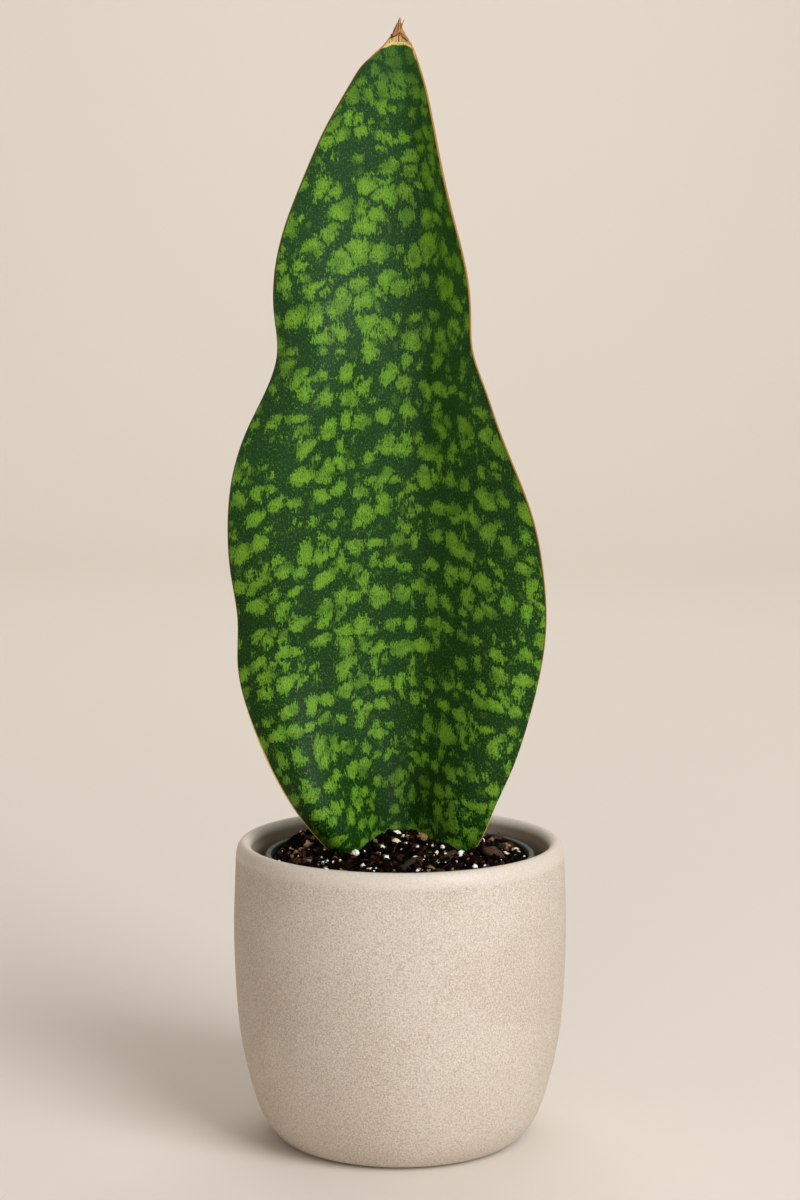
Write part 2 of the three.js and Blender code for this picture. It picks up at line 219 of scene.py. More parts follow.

# %% [markdown]
# Stoneware, plastic, bark and a leaf all have a fine grain that catches the light. It is the same effect
# at different sizes, so it is a node group, placed with their own values by the stoneware, plastic, peat
# and rhizome materials.

# %% Grain that several finishes share
def make_grain():
    """A group: noise of about one grain size and of a third of it, summed, as a height and as a mask."""
    group = bpy.data.node_groups.new("fine_grain", "ShaderNodeTree")
    face = group.interface
    face.new_socket("Place", in_out="INPUT", socket_type="NodeSocketVector")
    face.new_socket("Size", in_out="INPUT", socket_type="NodeSocketFloat").default_value = 1
    face.new_socket("Height", in_out="OUTPUT", socket_type="NodeSocketFloat")
    face.new_socket("Mask", in_out="OUTPUT", socket_type="NodeSocketFloat")
    entry = group.nodes.new("NodeGroupInput")
    leave = group.nodes.new("NodeGroupOutput")
    scale = maths(group, "DIVIDE", 1.0, entry.outputs["Size"])
    coarse = noise(group, entry.outputs["Place"], scale, 3.0, 0.6)
    fine = noise(group, entry.outputs["Place"], maths(group, "MULTIPLY", scale, 3.0), 2.0)
    height = maths(group, "MULTIPLY_ADD", fine, 0.4, maths(group, "MULTIPLY", coarse, 0.6))
    group.links.new(height, leave.inputs["Height"])
    group.links.new(remap(group, height, 0.4, 0.6), leave.inputs["Mask"])
    return group


GRAIN = make_grain()
print("node group", GRAIN.name, "has", len(GRAIN.nodes), "nodes")


def grain(tree, place, size):
    """The grain group in a tree, with the size of its grains in millimetres: its height and its mask."""
    node = put(tree, "Group", {"node_tree": GRAIN})
    tree.links.new(place, node.inputs["Place"])
    node.inputs["Size"].default_value = size
    return node.outputs["Height"], node.outputs["Mask"]


def bump(tree, height, distance):
    """A Bump node's normal. distance is the real height of the relief, in millimetres."""
    return put(tree, "Bump", {}, Strength=1.0, Distance=distance * MM, Height=height).outputs[0]


# %% [markdown]
# ## The cover pot
# A cover pot hides a nursery pot. This one is cast stoneware: a thick wall, a foot ring to stand on,
# sides that swell a little and come in again, and a rim wiped round with a sponge while it was damp. A
# pot has one axis, so its whole form is one profile turned about it. The profile's bends are curves
# through a few measured points, and the rim is two quarters of an ellipse that meet at its crest.

# %% The cover pot's form
COVER_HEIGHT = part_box("cover_pot")[1][2] / MM
FOOT = {"radius": 50, "inner": 43, "recess": 2}
RIM = {"outer": 74, "crest": 70.4, "lip": 67, "drop": 7, "lip_drop": 4}
COVER_FLOOR = 9
OUTSIDE = [(50, 0), (56, 2.6), (62.9, 12), (68.2, 28), (72.6, 50), (74.5, 75), (75, 100), (74, 129)]
INSIDE = [(67, 132), (67.4, 104), (66.8, 75), (64.8, 50), (60.4, 28), (55, 14.5), (47, 9)]


def path_through(knots, steps):
    """Points on a Catmull-Rom curve: it passes a knot parallel to the line between its neighbours."""
    knots = np.array(knots, float)
    padded = np.concatenate([knots[:1], knots, knots[-1:]])
    place = np.linspace(0, len(knots) - 1, steps + 1)
    i = np.minimum(place.astype(int), len(knots) - 2)
    t = (place - i)[:, None]
    a, b, c, d = (padded[i + k] for k in range(4))
    return b + t / 2 * (c - a + t * (2 * a - 5 * b + 4 * c - d + t * (3 * b - 3 * c + d - a)))


def quarter(start, end, steps):
    """A quarter of an ellipse from start, left straight upwards, to end, reached level: radius and height."""
    angle = np.linspace(0, math.pi / 2, steps + 1)[:, None]
    reach = np.hstack([1 - np.cos(angle), np.sin(angle)])
    return np.array(start) + (np.array(end) - start) * reach


def turned(name, profile, segments):
    """A profile of (radius, height) turned about the axis. Its first and last points lie on the axis."""
    angle = np.arange(segments) * 2 * math.pi / segments
    radius, height = np.array(profile, float).T
    rings = np.stack(np.broadcast_arrays(
        radius[1:-1, None] * np.cos(angle), radius[1:-1, None] * np.sin(angle), height[1:-1, None]), -1)
    ends = [[(0, 0, height[0]), (0, 0, height[-1])]]
    return skin(name, rings[None], np.array(ends, float))


crest = (RIM["crest"], COVER_HEIGHT)
cover_profile = np.concatenate([
    [(0, FOOT["recess"]), (FOOT["inner"] - 3, FOOT["recess"]), (FOOT["inner"] - 1, FOOT["recess"] - 0.4)],
    [(FOOT["inner"] - 0.2, 0.5), (FOOT["inner"] + 0.5, 0), (FOOT["radius"] - 1, 0)],
    path_through(OUTSIDE, 70),
    quarter((RIM["outer"], COVER_HEIGHT - RIM["drop"]), crest, 14)[1:],
    quarter((RIM["lip"], COVER_HEIGHT - RIM["lip_drop"]), crest, 10)[-2::-1],
    path_through(INSIDE, 50)[1:],
    [(44, COVER_FLOOR), (20, COVER_FLOOR), (0, COVER_FLOOR)],
])
cover_profile[:, 0] = np.minimum(cover_profile[:, 0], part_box("cover_pot")[1][0] / MM)
cover_pot = turned("cover_pot_skin", cover_profile, 180)

# %% [markdown]
# Stoneware clay has sand and iron in it. At arm's length the sand shows as a grain of lighter and darker
# specks less than a millimetre across, and the iron as a few brown dots. The kiln leaves large soft
# clouds of a warmer and a cooler tone. The sponge washed the clay's fine part over the rim, so the rim is
# smoother and catches more light; it is lighter, partly from that clay and partly as a painted highlight
# on its crest. All of it is worked out from the place on the pot, so that it has no seam.

# %% Stoneware
def painted_neck_shade(tree, axes):
    """1 on the wall inside the neck, where shade is painted, by its distance from the axis and its height,
    and 0 elsewhere.
    """
    flat = put(tree, "CombineXYZ", {}, axes[0], axes[1], 0.0).outputs[0]
    radius = put(tree, "VectorMath", {"operation": "LENGTH"}, flat).outputs["Value"]
    inside = maths(tree, "MULTIPLY", remap(tree, radius, 68.6, 67.6), remap(tree, axes[2], 70.0, 90.0))
    return maths(tree, "MULTIPLY", inside, remap(tree, axes[2], 134.0, 131.0))


def iron_dots(tree, place):
    """1 in a small dot at the middle of some Voronoi cells: those with the highest random value."""
    cells = put(tree, "TexVoronoi", {}, place, Scale=0.42).outputs
    dot = remap(tree, cells["Distance"], 0.16, 0.28, 1.0, 0.0)
    rare = remap(tree, put(tree, "SeparateColor", {}, cells["Color"]).outputs[0], 0.72, 0.78)
    return maths(tree, "MULTIPLY", dot, rare)


def make_stoneware():
    """Sand, iron dots and kiln clouds on two clay tones; a smoother rim by height, lighter partly as painted
    highlight.
    """
    made, tree, shader, place = material("speckled_stoneware")
    axes = put(tree, "SeparateXYZ", {}, place).outputs
    clouds = noise(tree, place, 0.018, 3.0)
    sand = noise(tree, place, 1.5, 1.0)
    rim = remap(tree, axes[2], 127.5, 131.5)
    light_sand = remap(tree, sand, 0.5, 0.66, 0.0, 0.55)
    dark_sand = remap(tree, sand, 0.5, 0.34, 0.0, 0.5)
    dots = maths(tree, "MULTIPLY", iron_dots(tree, place), 0.22)

    clay = blend(tree, remap(tree, clouds, 0.35, 0.65), srgb(196, 184, 170), srgb(205, 194, 181))
    clay = blend(tree, light_sand, clay, srgb(226, 214, 200))
    clay = blend(tree, dark_sand, clay, srgb(160, 141, 123))
    clay = blend(tree, dots, clay, srgb(128, 104, 88))
    # Partly painted highlight: the rim is lighter for its smoother clay and for the light on its crest.
    clay = blend(tree, maths(tree, "MULTIPLY", rim, 0.6), clay, srgb(214, 203, 192))
    # Painted shade: the clay inside the neck is darkened to a warm brown, as the shade in the pot's mouth.
    clay = blend(tree, maths(tree, "MULTIPLY", painted_neck_shade(tree, axes), 0.75), clay, srgb(180, 157, 132))
    tree.links.new(clay, shader.inputs["Base Color"])
    tree.links.new(remap(tree, rim, 0.0, 1.0, 0.66, 0.38), shader.inputs["Roughness"])
    relief = maths(tree, "MULTIPLY", grain(tree, place, 1.1)[0], remap(tree, rim, 0.0, 1.0, 1.0, 0.35))
    tree.links.new(bump(tree, relief, 0.4), shader.inputs["Normal"])
    shader.inputs["Specular IOR Level"].default_value = 0.4
    return made


dress(cover_pot, make_stoneware(), "cover_pot")

# %% [markdown]
# ## The grow pot
# Plants are sold in thin, vacuum-formed or moulded pots. All that shows of this one is its turned-down
# rim. The rest is made as well, because the part can be taken apart: a tapered wall, a floor with a
# rounded corner, and drain holes. It is a turned profile again. Holes aren't round the axis, so they are
# cut with a Boolean modifier.

# %% The grow pot's form
LINER = {
    "bottom": COVER_FLOOR, "top": 130, "foot": 43, "neck": 59.4, "rim": 61, "rim_height": 6.5, "wall": 1.3,
    "rim_wall": 1.1, "floor": 1.75, "round": 1.5, "ribs": 5, "rib": 0.7, "rib_depth": 0.2,
    "holes": 8, "hole": 4.5, "hole_circle": 31, "middle_hole": 6,
}


def liner_profile():
    """Up the outside, over the turned-down rim, and down the inside, as radius and height."""
    pot = LINER
    foot, neck, rim, top, bottom = (pot[key] for key in ("foot", "neck", "rim", "top", "bottom"))
    corner = pot["round"]
    under_rim = top - pot["rim_wall"]
    edge = top - pot["rim_height"]
    skirt = rim - pot["rim_wall"]
    floor = bottom + pot["floor"]
    ribs = [(skirt + pot["rib_depth"] * (k % 2), edge + 0.2 + pot["rib"] * k) for k in range(pot["ribs"])]
    wall = np.linspace((foot, bottom + corner), (neck, under_rim - 0.8), 24)
    return np.concatenate([
        [(0, bottom), (foot - 2 * corner, bottom)],
        quarter((foot, bottom + corner), (foot - corner, bottom), 4)[::-1],
        wall[1:],
        [(neck + 0.15, under_rim), (skirt - 0.15, under_rim)],
        ribs[::-1],
        [(skirt + 0.1, edge), (rim - 0.2, edge), (rim, edge + 0.3)],
        quarter((rim, top - 1.3), (rim - 1.1, top), 5),
        quarter((neck - pot["wall"], top - 0.9), (neck - 0.5, top), 5)[::-1],
        wall[-2::-1] - (pot["wall"], 0),
        [(foot - pot["wall"] - corner, floor), (0, floor)],
    ])


def drill(piece, centre_x, centre_y, radius):
    """Cuts an upright round hole through the piece's floor."""
    centre = (centre_x * MM, centre_y * MM, LINER["bottom"] * MM)
    bpy.ops.mesh.primitive_cylinder_add(vertices=40, radius=radius * MM, depth=6 * MM, location=centre)
    cutter = bpy.context.object
    cut = piece.modifiers.new("drain_hole", "BOOLEAN")
    cut.operation = "DIFFERENCE"
    cut.solver = "EXACT"
    cut.object = cutter
    bpy.context.view_layer.objects.active = piece
    bpy.ops.object.modifier_apply(modifier=cut.name)
    bpy.data.objects.remove(cutter)


grow_pot = turned("grow_pot_skin", liner_profile(), 144)
drill(grow_pot, 0, 0, LINER["middle_hole"])
for k in range(LINER["holes"]):
    turn = 2 * math.pi * k / LINER["holes"]
    circle = LINER["hole_circle"]
    drill(grow_pot, circle * math.cos(turn), circle * math.sin(turn), LINER["hole"])
print("drilled", LINER["holes"] + 1, "drain holes, now", len(grow_pot.data.polygons), "faces")

# %% [markdown]
# Nursery plastic is dull blue-grey. It has a fine moulded grain, and dust from the mix lies on its rim.

# %% Moulded plastic
def make_plastic():
    """A dark blue-grey with patches of pale dust on what faces up, and a fine grain."""
    made, tree, shader, place = material("nursery_plastic")
    height = grain(tree, place, 0.5)[0]
    upward = put(tree, "SeparateXYZ", {}, put(tree, "NewGeometry", {}).outputs["Normal"]).outputs[2]
    cloud = remap(tree, noise(tree, place, 0.35, 4.0), 0.42, 0.66)
    dust = maths(tree, "MULTIPLY", remap(tree, upward, 0.2, 1.0), cloud)
    colour = blend(tree, maths(tree, "MULTIPLY", dust, 0.5), srgb(50, 59, 62), srgb(88, 87, 82))
    tree.links.new(colour, shader.inputs["Base Color"])
    tree.links.new(remap(tree, dust, 0.0, 1.0, 0.42, 0.8), shader.inputs["Roughness"])
    tree.links.new(bump(tree, height, 0.06), shader.inputs["Normal"])
    return made


dress(grow_pot, make_plastic(), "grow_pot")

# %% [markdown]
# ## The leaf
# A whale fin leaf is one stiff, fleshy blade. It stands up as a shallow channel whose midrib lies at the
# back. Its two halves swell forwards, its margins turn back in slow waves, and a waist narrows it two
# thirds of the way up. It could be sculpted, but then it would have no numbers. So it is lofted: ten
# smooth curves over the height say where both margins and the midrib are, how far each half swells, how
# broad the groove at the midrib is, and how thick the blade is.

# %% The leaf's curves
def curve_through(knots):
    """The natural cubic curve through (place, value) knots, as a function of the place.

    Its second derivative is nought at both ends, and at each inner knot it solves one linear equation.
    """
    at, value = np.array(knots, float).T
    span = np.diff(at)
    inner = np.arange(1, len(at) - 1)
    weights = np.eye(len(at))
    weights[inner, inner - 1] = span[:-1]
    weights[inner, inner] = 2 * (span[:-1] + span[1:])
    weights[inner, inner + 1] = span[1:]
    turns = np.zeros(len(at))
    turns[inner] = 6 * np.diff(np.diff(value) / span)
    bend = np.linalg.solve(weights, turns)

    def curve(place):
        """The cubic between the two knots round the place: a straight line, and both knots' bends."""
        i = np.clip(np.searchsorted(at, place) - 1, 0, len(span) - 1)
        b = (place - at[i]) / span[i]
        a = 1 - b
        cubic = ((a**3 - a) * bend[i] + (b**3 - b) * bend[i + 1]) * span[i] ** 2 / 6
        return a * value[i] + b * value[i + 1] + cubic

    return curve


LEAF_FOOT = 92
LEAF_TIP = 500
LEAF = {name: curve_through(knots) for name, knots in {
    "left_x": [
        (92, -7), (108, -12), (122, -23), (134, -33.7), (148, -44.7), (166, -56.1), (190, -66.9),
        (214, -72.8), (236, -72.8), (255, -75.4), (277, -76.6), (298, -74.7), (320, -68), (342, -57.7),
        (354, -54.6), (372, -55.9), (387, -55.8), (406, -52.1), (430, -43.1), (455, -31.6), (473, -21.1),
        (480, -16.2), (484.6, -11.1), (488.2, -7), (491, -4.8), (494, -3), (500, -0.3)],
    "right_x": [
        (92, 13), (108, 17), (122, 27), (134, 35.8), (148, 41.5), (168, 50.1), (190, 57.3), (212, 62.4),
        (236, 64.9), (258, 63.3), (280, 59.1), (300, 52), (320, 43.8), (340, 36.8), (356, 31.6),
        (372, 30.7), (390, 28.8), (412, 23.5), (435, 18.1), (460, 13.3), (476, 9.5), (483, 7.3),
        (488.6, 5.1), (492.4, 2.7), (495, 1.2), (500, 0.2)],
    "middle_x": [
        (92, 1.5), (134, 2), (200, 3), (260, 4), (310, 6), (350, 8), (400, 8.5), (430, 8), (455, 5),
        (475, 2), (488, 0), (500, 0)],
    "middle_y": [
        (92, 12), (134, 14), (180, 17), (250, 18), (320, 15), (400, 14), (450, 10), (488, 3), (500, 2)],
    "left_y": [
        (92, 12), (108, 11), (120, 5), (134, -5), (180, -2), (236, 3), (277, -2), (315, -1), (345, 6),
        (385, 4), (430, 2), (465, 1), (488, 1), (500, 2)],
    "right_y": [
        (92, 12), (108, 11), (120, 7), (134, 2), (180, -4), (230, -10), (280, -20), (325, -24),
        (352, -16), (385, -15), (420, -9), (460, -3), (488, 1), (500, 2)],
    "left_swell": [
        (92, 0), (108, 0.5), (120, 5), (134, 12), (180, 13), (250, 11), (300, 11), (345, 13), (385, 6),
        (430, 3), (488, 0.5), (500, 0)],
    "right_swell": [
        (92, 0), (108, 0.5), (120, 3), (134, 8), (180, 12), (230, 10), (290, 5), (345, 2), (385, -1),
        (430, -1), (488, 0), (500, 0)],
    "groove": [(92, 0.45), (180, 0.4), (300, 0.3), (400, 0.45), (500, 0.6)],
    "thickness": [
        (92, 11), (112, 8.5), (134, 6.5), (180, 5), (260, 4), (350, 3.4), (430, 2.8), (470, 2.2),
        (488, 1.6), (500, 0.9)],
}.items()}
MARGIN_THICKNESS = 1.1
LEFT_SWELL_PLACE = 1.4  # above 1, a half swells most nearer its margin
RIGHT_SWELL_PLACE = 1.05
heights = np.linspace(LEAF_FOOT, LEAF_TIP, 200)
print("the leaf is", LEAF_TIP - LEAF_FOOT, "mm long with its buried stalk, and at most",
      round(float((LEAF["right_x"](heights) - LEAF["left_x"](heights)).max()), 1), "mm wide")

# %% [markdown]
# From these curves the blade becomes a surface of two parameters: how far across a spot is, and how high.
# Its thickness is laid off half to the front and half to the back, square to that surface.

# %% The blade as a surface
def outwards(across, height):
    """Share of the way from the midrib to a margin, with a round groove at the midrib instead of a corner."""
    groove = LEAF["groove"](height)
    return (np.hypot(across, groove) - groove) / (np.hypot(1, groove) - groove)


def blade(across, height):
    """The blade's middle surface. across is -1 at the left margin, 0 at the midrib and 1 at the right margin.

    Sideways it goes evenly from the midrib to the margin. Backwards it goes from the midrib's depth to the
    margin's depth, less half a wave of a sine for the swell, which lies nearer the margin.
    """
    left = across < 0
    edge_x = np.where(left, LEAF["left_x"](height), LEAF["right_x"](height))
    edge_y = np.where(left, LEAF["left_y"](height), LEAF["right_y"](height))
    swell = np.where(left, LEAF["left_swell"](height), LEAF["right_swell"](height))
    middle_x = LEAF["middle_x"](height)
    middle_y = LEAF["middle_y"](height)
    out = outwards(across, height)
    place = np.where(left, LEFT_SWELL_PLACE, RIGHT_SWELL_PLACE)
    x = middle_x + (edge_x - middle_x) * np.abs(across)
    y = middle_y + (edge_y - middle_y) * out - swell * np.sin(np.pi * out**place)
    return np.stack([x, y, height + 0 * x], -1)


def blade_back(across, height):
    """The direction square to the blade, towards the back: the cross product of its two slopes."""
    step = 0.01
    right, left = np.minimum(across + step, 1), np.maximum(across - step, -1)
    along = blade(right, height) - blade(left, height)
    up = blade(across, height + step) - blade(across, height - step)
    back = np.cross(up, along)
    return back / np.linalg.norm(back, axis=-1, keepdims=True)


def half_thickness(across, height):
    """Half the blade's thickness: most at the midrib, least and rounded off at the margins.

    It falls by the square of the share outwards. Over the last bit it is multiplied by a circle's half-chord.
    """
    middle = LEAF["thickness"](height)
    margin = np.minimum(MARGIN_THICKNESS, middle)
    width = np.abs(LEAF["right_x"](height) - LEAF["left_x"](height)) / 2
    inwards = np.clip((1 - np.abs(across)) * width / (margin / 2), 0, 1)
    round_edge = np.sqrt(1 - (1 - inwards) ** 2)
    return (margin + (middle - margin) * (1 - outwards(across, height) ** 2)) / 2 * round_edge


halfway = (LEAF_FOOT + LEAF_TIP) / 2
print("halfway up, the blade is", round(2 * float(half_thickness(0.0, halfway)), 1), "mm thick at its midrib")

# %% [markdown]
# A section of the leaf is a thin closed loop: along the front from the left margin to the right one, and
# back along the back. The pattern on a leaf grew with it, so the UV map follows the surface: u is the
# length across from the midrib, v is the length along it. The back gets its own stretch of the pattern,
# as on the real leaf.

# %% The leaf's mesh
LEAF_ROWS = 330
LEAF_COLUMNS = 96
CROWDING = 1.3  # above 1, the rows lie closer together towards the tip
BACK_OFFSET = 700  # how far up the pattern the back of the leaf starts, in millimetres


def surface_map(across, height):
    """Lengths on the blade in millimetres: across from the midrib, along from the foot, in from the margin.

    The blade is cut into short steps. Each length is the sum of the steps' lengths.
    """
    even = np.linspace(-1, 1, 401)[None, :]
    steps = np.linalg.norm(np.diff(blade(even, height), axis=1), axis=-1)
    length = np.concatenate([np.zeros((len(height), 1)), np.cumsum(steps, axis=1)], axis=1)
    length -= length[:, [even.size // 2]]
    u = np.stack([np.interp(across[0], even[0], row) for row in length])
    rise = np.linalg.norm(np.diff(blade(np.zeros((1, 1)), height), axis=0), axis=-1)
    v = np.concatenate([[[0]], np.cumsum(rise, axis=0)]) + 0 * u
    reach = np.where(across < 0, length[:, [0]], length[:, [-1]])
    return u, v, np.abs(np.abs(reach) - np.abs(u))


def leaf_skin():
    """Loops round the leaf's section, one above the other, with the pattern's map and the way to the margin.

    A loop is the middle surface at minus the cosine of a turn, moved half a thickness forwards or backwards.
    """
    height = LEAF_TIP - (LEAF_TIP - LEAF_FOOT) * np.linspace(1, 0, LEAF_ROWS)[:, None] ** CROWDING
    turn = np.arange(2 * LEAF_COLUMNS) * math.pi / LEAF_COLUMNS
    across = -np.cos(turn)[None, :]
    facing = np.where(np.sin(turn) > 1e-9, -1.0, 1.0)[None, :]
    offset = facing * half_thickness(across, height)
    rings = blade(across, height) + blade_back(across, height) * offset[..., None]
    u, v, margin = surface_map(across, height)
    v = v + np.where(facing > 0, BACK_OFFSET, 0)
    return skin("leaf_skin", rings[None], pattern=np.stack([u, v], -1)[None], margin=margin[None, ..., None])


leaf = leaf_skin()

# %% [markdown]
# The mottle is made by cells that lack some of their green. They lie in patches of 5 to 10 mm, packed
# like cobbles with dark canals between them. A picture of a leaf would look right on that one leaf, from
# one side. A Voronoi pattern packs cells in the same way, and it has no end and no seam: each cell's
# middle gives a patch, a radius of its own makes the patch large or small, and the border between two
# cells gives the canal.

# %% Patches and canals
COBBLES = {"spacing": 11.7, "least": 1.7, "most": 6.9, "uneven": 0.85}
CANAL = {"spacing": 11.7, "uneven": 0.85, "width": 0.85}


def patches(tree, spot, spacing, least, most, uneven, offset=(0, 0, 0)):
    """How far inside a patch a spot is, in mm: its cell's radius less its distance from the cell's middle."""
    moved = put(tree, "VectorMath", {"operation": "ADD"}, spot, offset).outputs[0]
    cell = put(tree, "TexVoronoi", {"voronoi_dimensions": "2D"}, moved, Scale=1 / spacing, Randomness=uneven)
    own = put(tree, "SeparateColor", {}, cell.outputs["Color"]).outputs[0]
    radius = maths(tree, "MULTIPLY_ADD", own, most - least, least)
    return maths(tree, "MULTIPLY_ADD", cell.outputs["Distance"], -spacing, radius)


def canals(tree, spot, spacing, uneven, width):
    """How far a spot is from the border between two cells, less half of the dark canal there, in mm."""
    settings = {"voronoi_dimensions": "2D", "feature": "DISTANCE_TO_EDGE"}
    border = put(tree, "TexVoronoi", settings, spot, Scale=1 / spacing, Randomness=uneven).outputs["Distance"]
    return maths(tree, "SUBTRACT", maths(tree, "MULTIPLY", border, spacing), width)


print("a patch has a radius of", COBBLES["least"], "to", COBBLES["most"], "mm")

# %% [markdown]
# The patches are small at the leaf's foot, where it is youngest, and at its tip, and largest between the
# waist and the tip. Where they are smaller, the map that they lie on is enlarged. The rows of patches
# fall away from the midrib to both margins, so the map slides up with the distance from the midrib. Two
# noises then warp it, a broad one that bends the rows and a narrow one that breaks up the round outlines.

# %% The map that the mottle lies on
YOUNG = {"reach": 110.0, "finer": 0.6}
OLD = {"reach": 60.0, "finer": 0.7}
LARGE = {"from": 335.0, "full": 400.0, "ends": 410.0, "to": 470.0, "coarser": 0.18, "slip": 17.0}
FALL = {"power": 1.5, "rate": 0.026}
WARPS = [(18.0, 12.0), (3.5, 3.0)]  # the size of a noise, and twice the way that it moves a spot at most


def fading(tree, distance, reach):
    """1 where the distance is nought, and less by the factor e for every reach."""
    return maths(tree, "EXPONENT", maths(tree, "DIVIDE", distance, -reach))


def shift(tree, spot, source, size, reach):
    """The spot moved by up to about half of reach, by a noise of that size."""
    colour = put(tree, "TexNoise", {}, source, Scale=1 / size, Detail=1.0).outputs["Color"]
    about_nought = put(tree, "VectorMath", {"operation": "SUBTRACT"}, colour, (0.5, 0.5, 0.5)).outputs[0]
    move = put(tree, "VectorMath", {"operation": "SCALE"}, about_nought, Scale=reach).outputs[0]
    return put(tree, "VectorMath", {"operation": "ADD"}, spot, move).outputs[0]


def mottle_map(tree, uv, height):
    """The warped map, and how far the leaf is into its stretch of large patches, from 0 to 1.

    Across, the map is multiplied by 1 plus the shares by which it is finer. Along, it is moved by those
    shares added up over the height, so that it is enlarged both ways alike.
    """
    across, along = put(tree, "SeparateXYZ", {}, uv).outputs[:2]
    young = fading(tree, maths(tree, "SUBTRACT", height, LEAF_FOOT), YOUNG["reach"])
    old = fading(tree, maths(tree, "SUBTRACT", LEAF_TIP, height), OLD["reach"])
    rising = remap(tree, height, LARGE["from"], LARGE["full"])
    large = maths(tree, "MULTIPLY", rising, remap(tree, height, LARGE["to"], LARGE["ends"]))
    finer = maths(tree, "MULTIPLY_ADD", large, -LARGE["coarser"], 1.0)
    finer = maths(tree, "MULTIPLY_ADD", old, OLD["finer"], finer)
    finer = maths(tree, "MULTIPLY_ADD", young, YOUNG["finer"], finer)
    across = maths(tree, "MULTIPLY", across, finer)
    slip = remap(tree, height, LARGE["from"], LARGE["to"], 0.0, LARGE["slip"])
    along = maths(tree, "SUBTRACT", along, slip)
    along = maths(tree, "MULTIPLY_ADD", old, OLD["finer"] * OLD["reach"], along)
    along = maths(tree, "MULTIPLY_ADD", young, -YOUNG["finer"] * YOUNG["reach"], along)
    out = maths(tree, "POWER", maths(tree, "ABSOLUTE", across), FALL["power"])
    along = maths(tree, "MULTIPLY_ADD", out, FALL["rate"], along)
    spot = put(tree, "CombineXYZ", {}, across, along, 0.0).outputs[0]
    for size, reach in WARPS:
        spot = shift(tree, spot, uv, size, reach)
    return spot, large


print("the pattern is", 1 + YOUNG["finer"], "times as fine at the foot, and", 1 + OLD["finer"], "at the tip")

# %% [markdown]
# The leaf grows lengthwise from its base, and that draws every patch's edge out into fine upright
# strokes. So the edge isn't where the distance is nought, but where the distance plus three noises is:
# upright strokes, ragged bays, and grains. A few loose patches and some faint ones lie over the packed
# ones, as between cobbles.

# %% The mottle
LOOSE = {"spacing": 10.0, "least": -4.5, "most": 2.6, "uneven": 1.0, "offset": (-37.0, 29.0, 0.0)}
FAINT = {"spacing": 6.8, "least": -3.0, "most": 2.4, "uneven": 1.0, "offset": (17.0, -43.0, 0.0)}
SQUAT = (1.06, 1.08, 1.0)
ROW_SPACING = 15.0  # from one row of patches to the next, in millimetres
ROW_STRENGTH = (1.3, 0.5)  # below the waist and above it
LARGE_WIDER = 0.3  # how much the patches are wider where they are large
TIP_WIDER = 0.55


def about_nought(tree, value, times):
    """A noise less its mean, times a number."""
    return maths(tree, "MULTIPLY", maths(tree, "SUBTRACT", value, 0.5), times)


def fraying(tree, uv):
    """Strokes drawn out along the leaf, and how far they and two other noises move a patch's edge, in mm."""
    strokes = noise(tree, stretch(tree, uv, (1.2, 0.28, 1.0)), 1.0, 2.0, 0.6)
    ragged = noise(tree, stretch(tree, uv, (0.5, 0.35, 1.0), (7.0, 3.0, 0.0)), 1.0, 2.0, 0.6)
    grains = noise(tree, stretch(tree, uv, (2.0, 1.2, 1.0), (5.0, 1.0, 0.0)), 1.0, 1.0)
    fray = maths(tree, "ADD", about_nought(tree, strokes, 9.5), about_nought(tree, ragged, 5.5))
    return strokes, maths(tree, "ADD", fray, about_nought(tree, grains, 1.5))


def mottle(tree, uv, height):
    """How far inside a light patch each spot is, in mm, how light its frayed edge leaves it, and the strokes.

    It is the smaller of the distances from a patch's edge and from a canal, or that from a loose patch's edge
    where it is larger, plus a sine of the way along the map for the rows.
    """
    spot, large = mottle_map(tree, uv, height)
    squat = stretch(tree, spot, SQUAT)
    inside = maths(tree, "MINIMUM", patches(tree, squat, **COBBLES), canals(tree, squat, **CANAL))
    inside = maths(tree, "MAXIMUM", inside, patches(tree, squat, **LOOSE))
    level = put(tree, "SeparateXYZ", {}, spot).outputs[1]
    rows = maths(tree, "SINE", maths(tree, "MULTIPLY", level, 2 * math.pi / ROW_SPACING))
    inside = maths(tree, "MULTIPLY_ADD", large, LARGE_WIDER, inside)
    inside = maths(tree, "MULTIPLY_ADD", rows, remap(tree, height, 290.0, 380.0, *ROW_STRENGTH), inside)
    inside = maths(tree, "ADD", inside, remap(tree, height, 435.0, 475.0, 0.0, TIP_WIDER))
    strokes, fray = fraying(tree, uv)
    light = remap(tree, maths(tree, "ADD", inside, fray), -0.1, 0.3)
    faint = maths(tree, "MULTIPLY_ADD", fray, 0.8, patches(tree, squat, **FAINT))
    return inside, maths(tree, "MAXIMUM", light, remap(tree, faint, -0.4, 0.8, 0.0, 0.4)), strokes


def speckled(tree, uv, inside, light):
    """The patches with dark specks in some of them, and light flecks on the ground close to them."""
    vigour = remap(tree, noise(tree, uv, 1 / 9, 1.0), 0.34, 0.5, 0.62, 1.0)
    patchy = remap(tree, noise(tree, uv, 1 / 5, 1.0), 0.36, 0.52, 0.35, 1.0)
    specks = remap(tree, noise(tree, stretch(tree, uv, (1.9, 0.8, 1.0)), 1.0, 1.0), 0.57, 0.64)
    kept = maths(tree, "MULTIPLY_ADD", maths(tree, "MULTIPLY", specks, patchy), -0.8, 1.0)
    flecks = remap(tree, noise(tree, stretch(tree, uv, (1.8, 0.9, 1.0), (31, 9, 0)), 1.0, 1.0), 0.59, 0.67)
    near = remap(tree, inside, -7.0, -0.5, 0.2, 0.65)
    light = maths(tree, "MULTIPLY", maths(tree, "MULTIPLY", light, vigour), kept)
    return maths(tree, "MAXIMUM", light, maths(tree, "MULTIPLY", flecks, near))


print("the map has a row of patches every", ROW_SPACING, "mm")
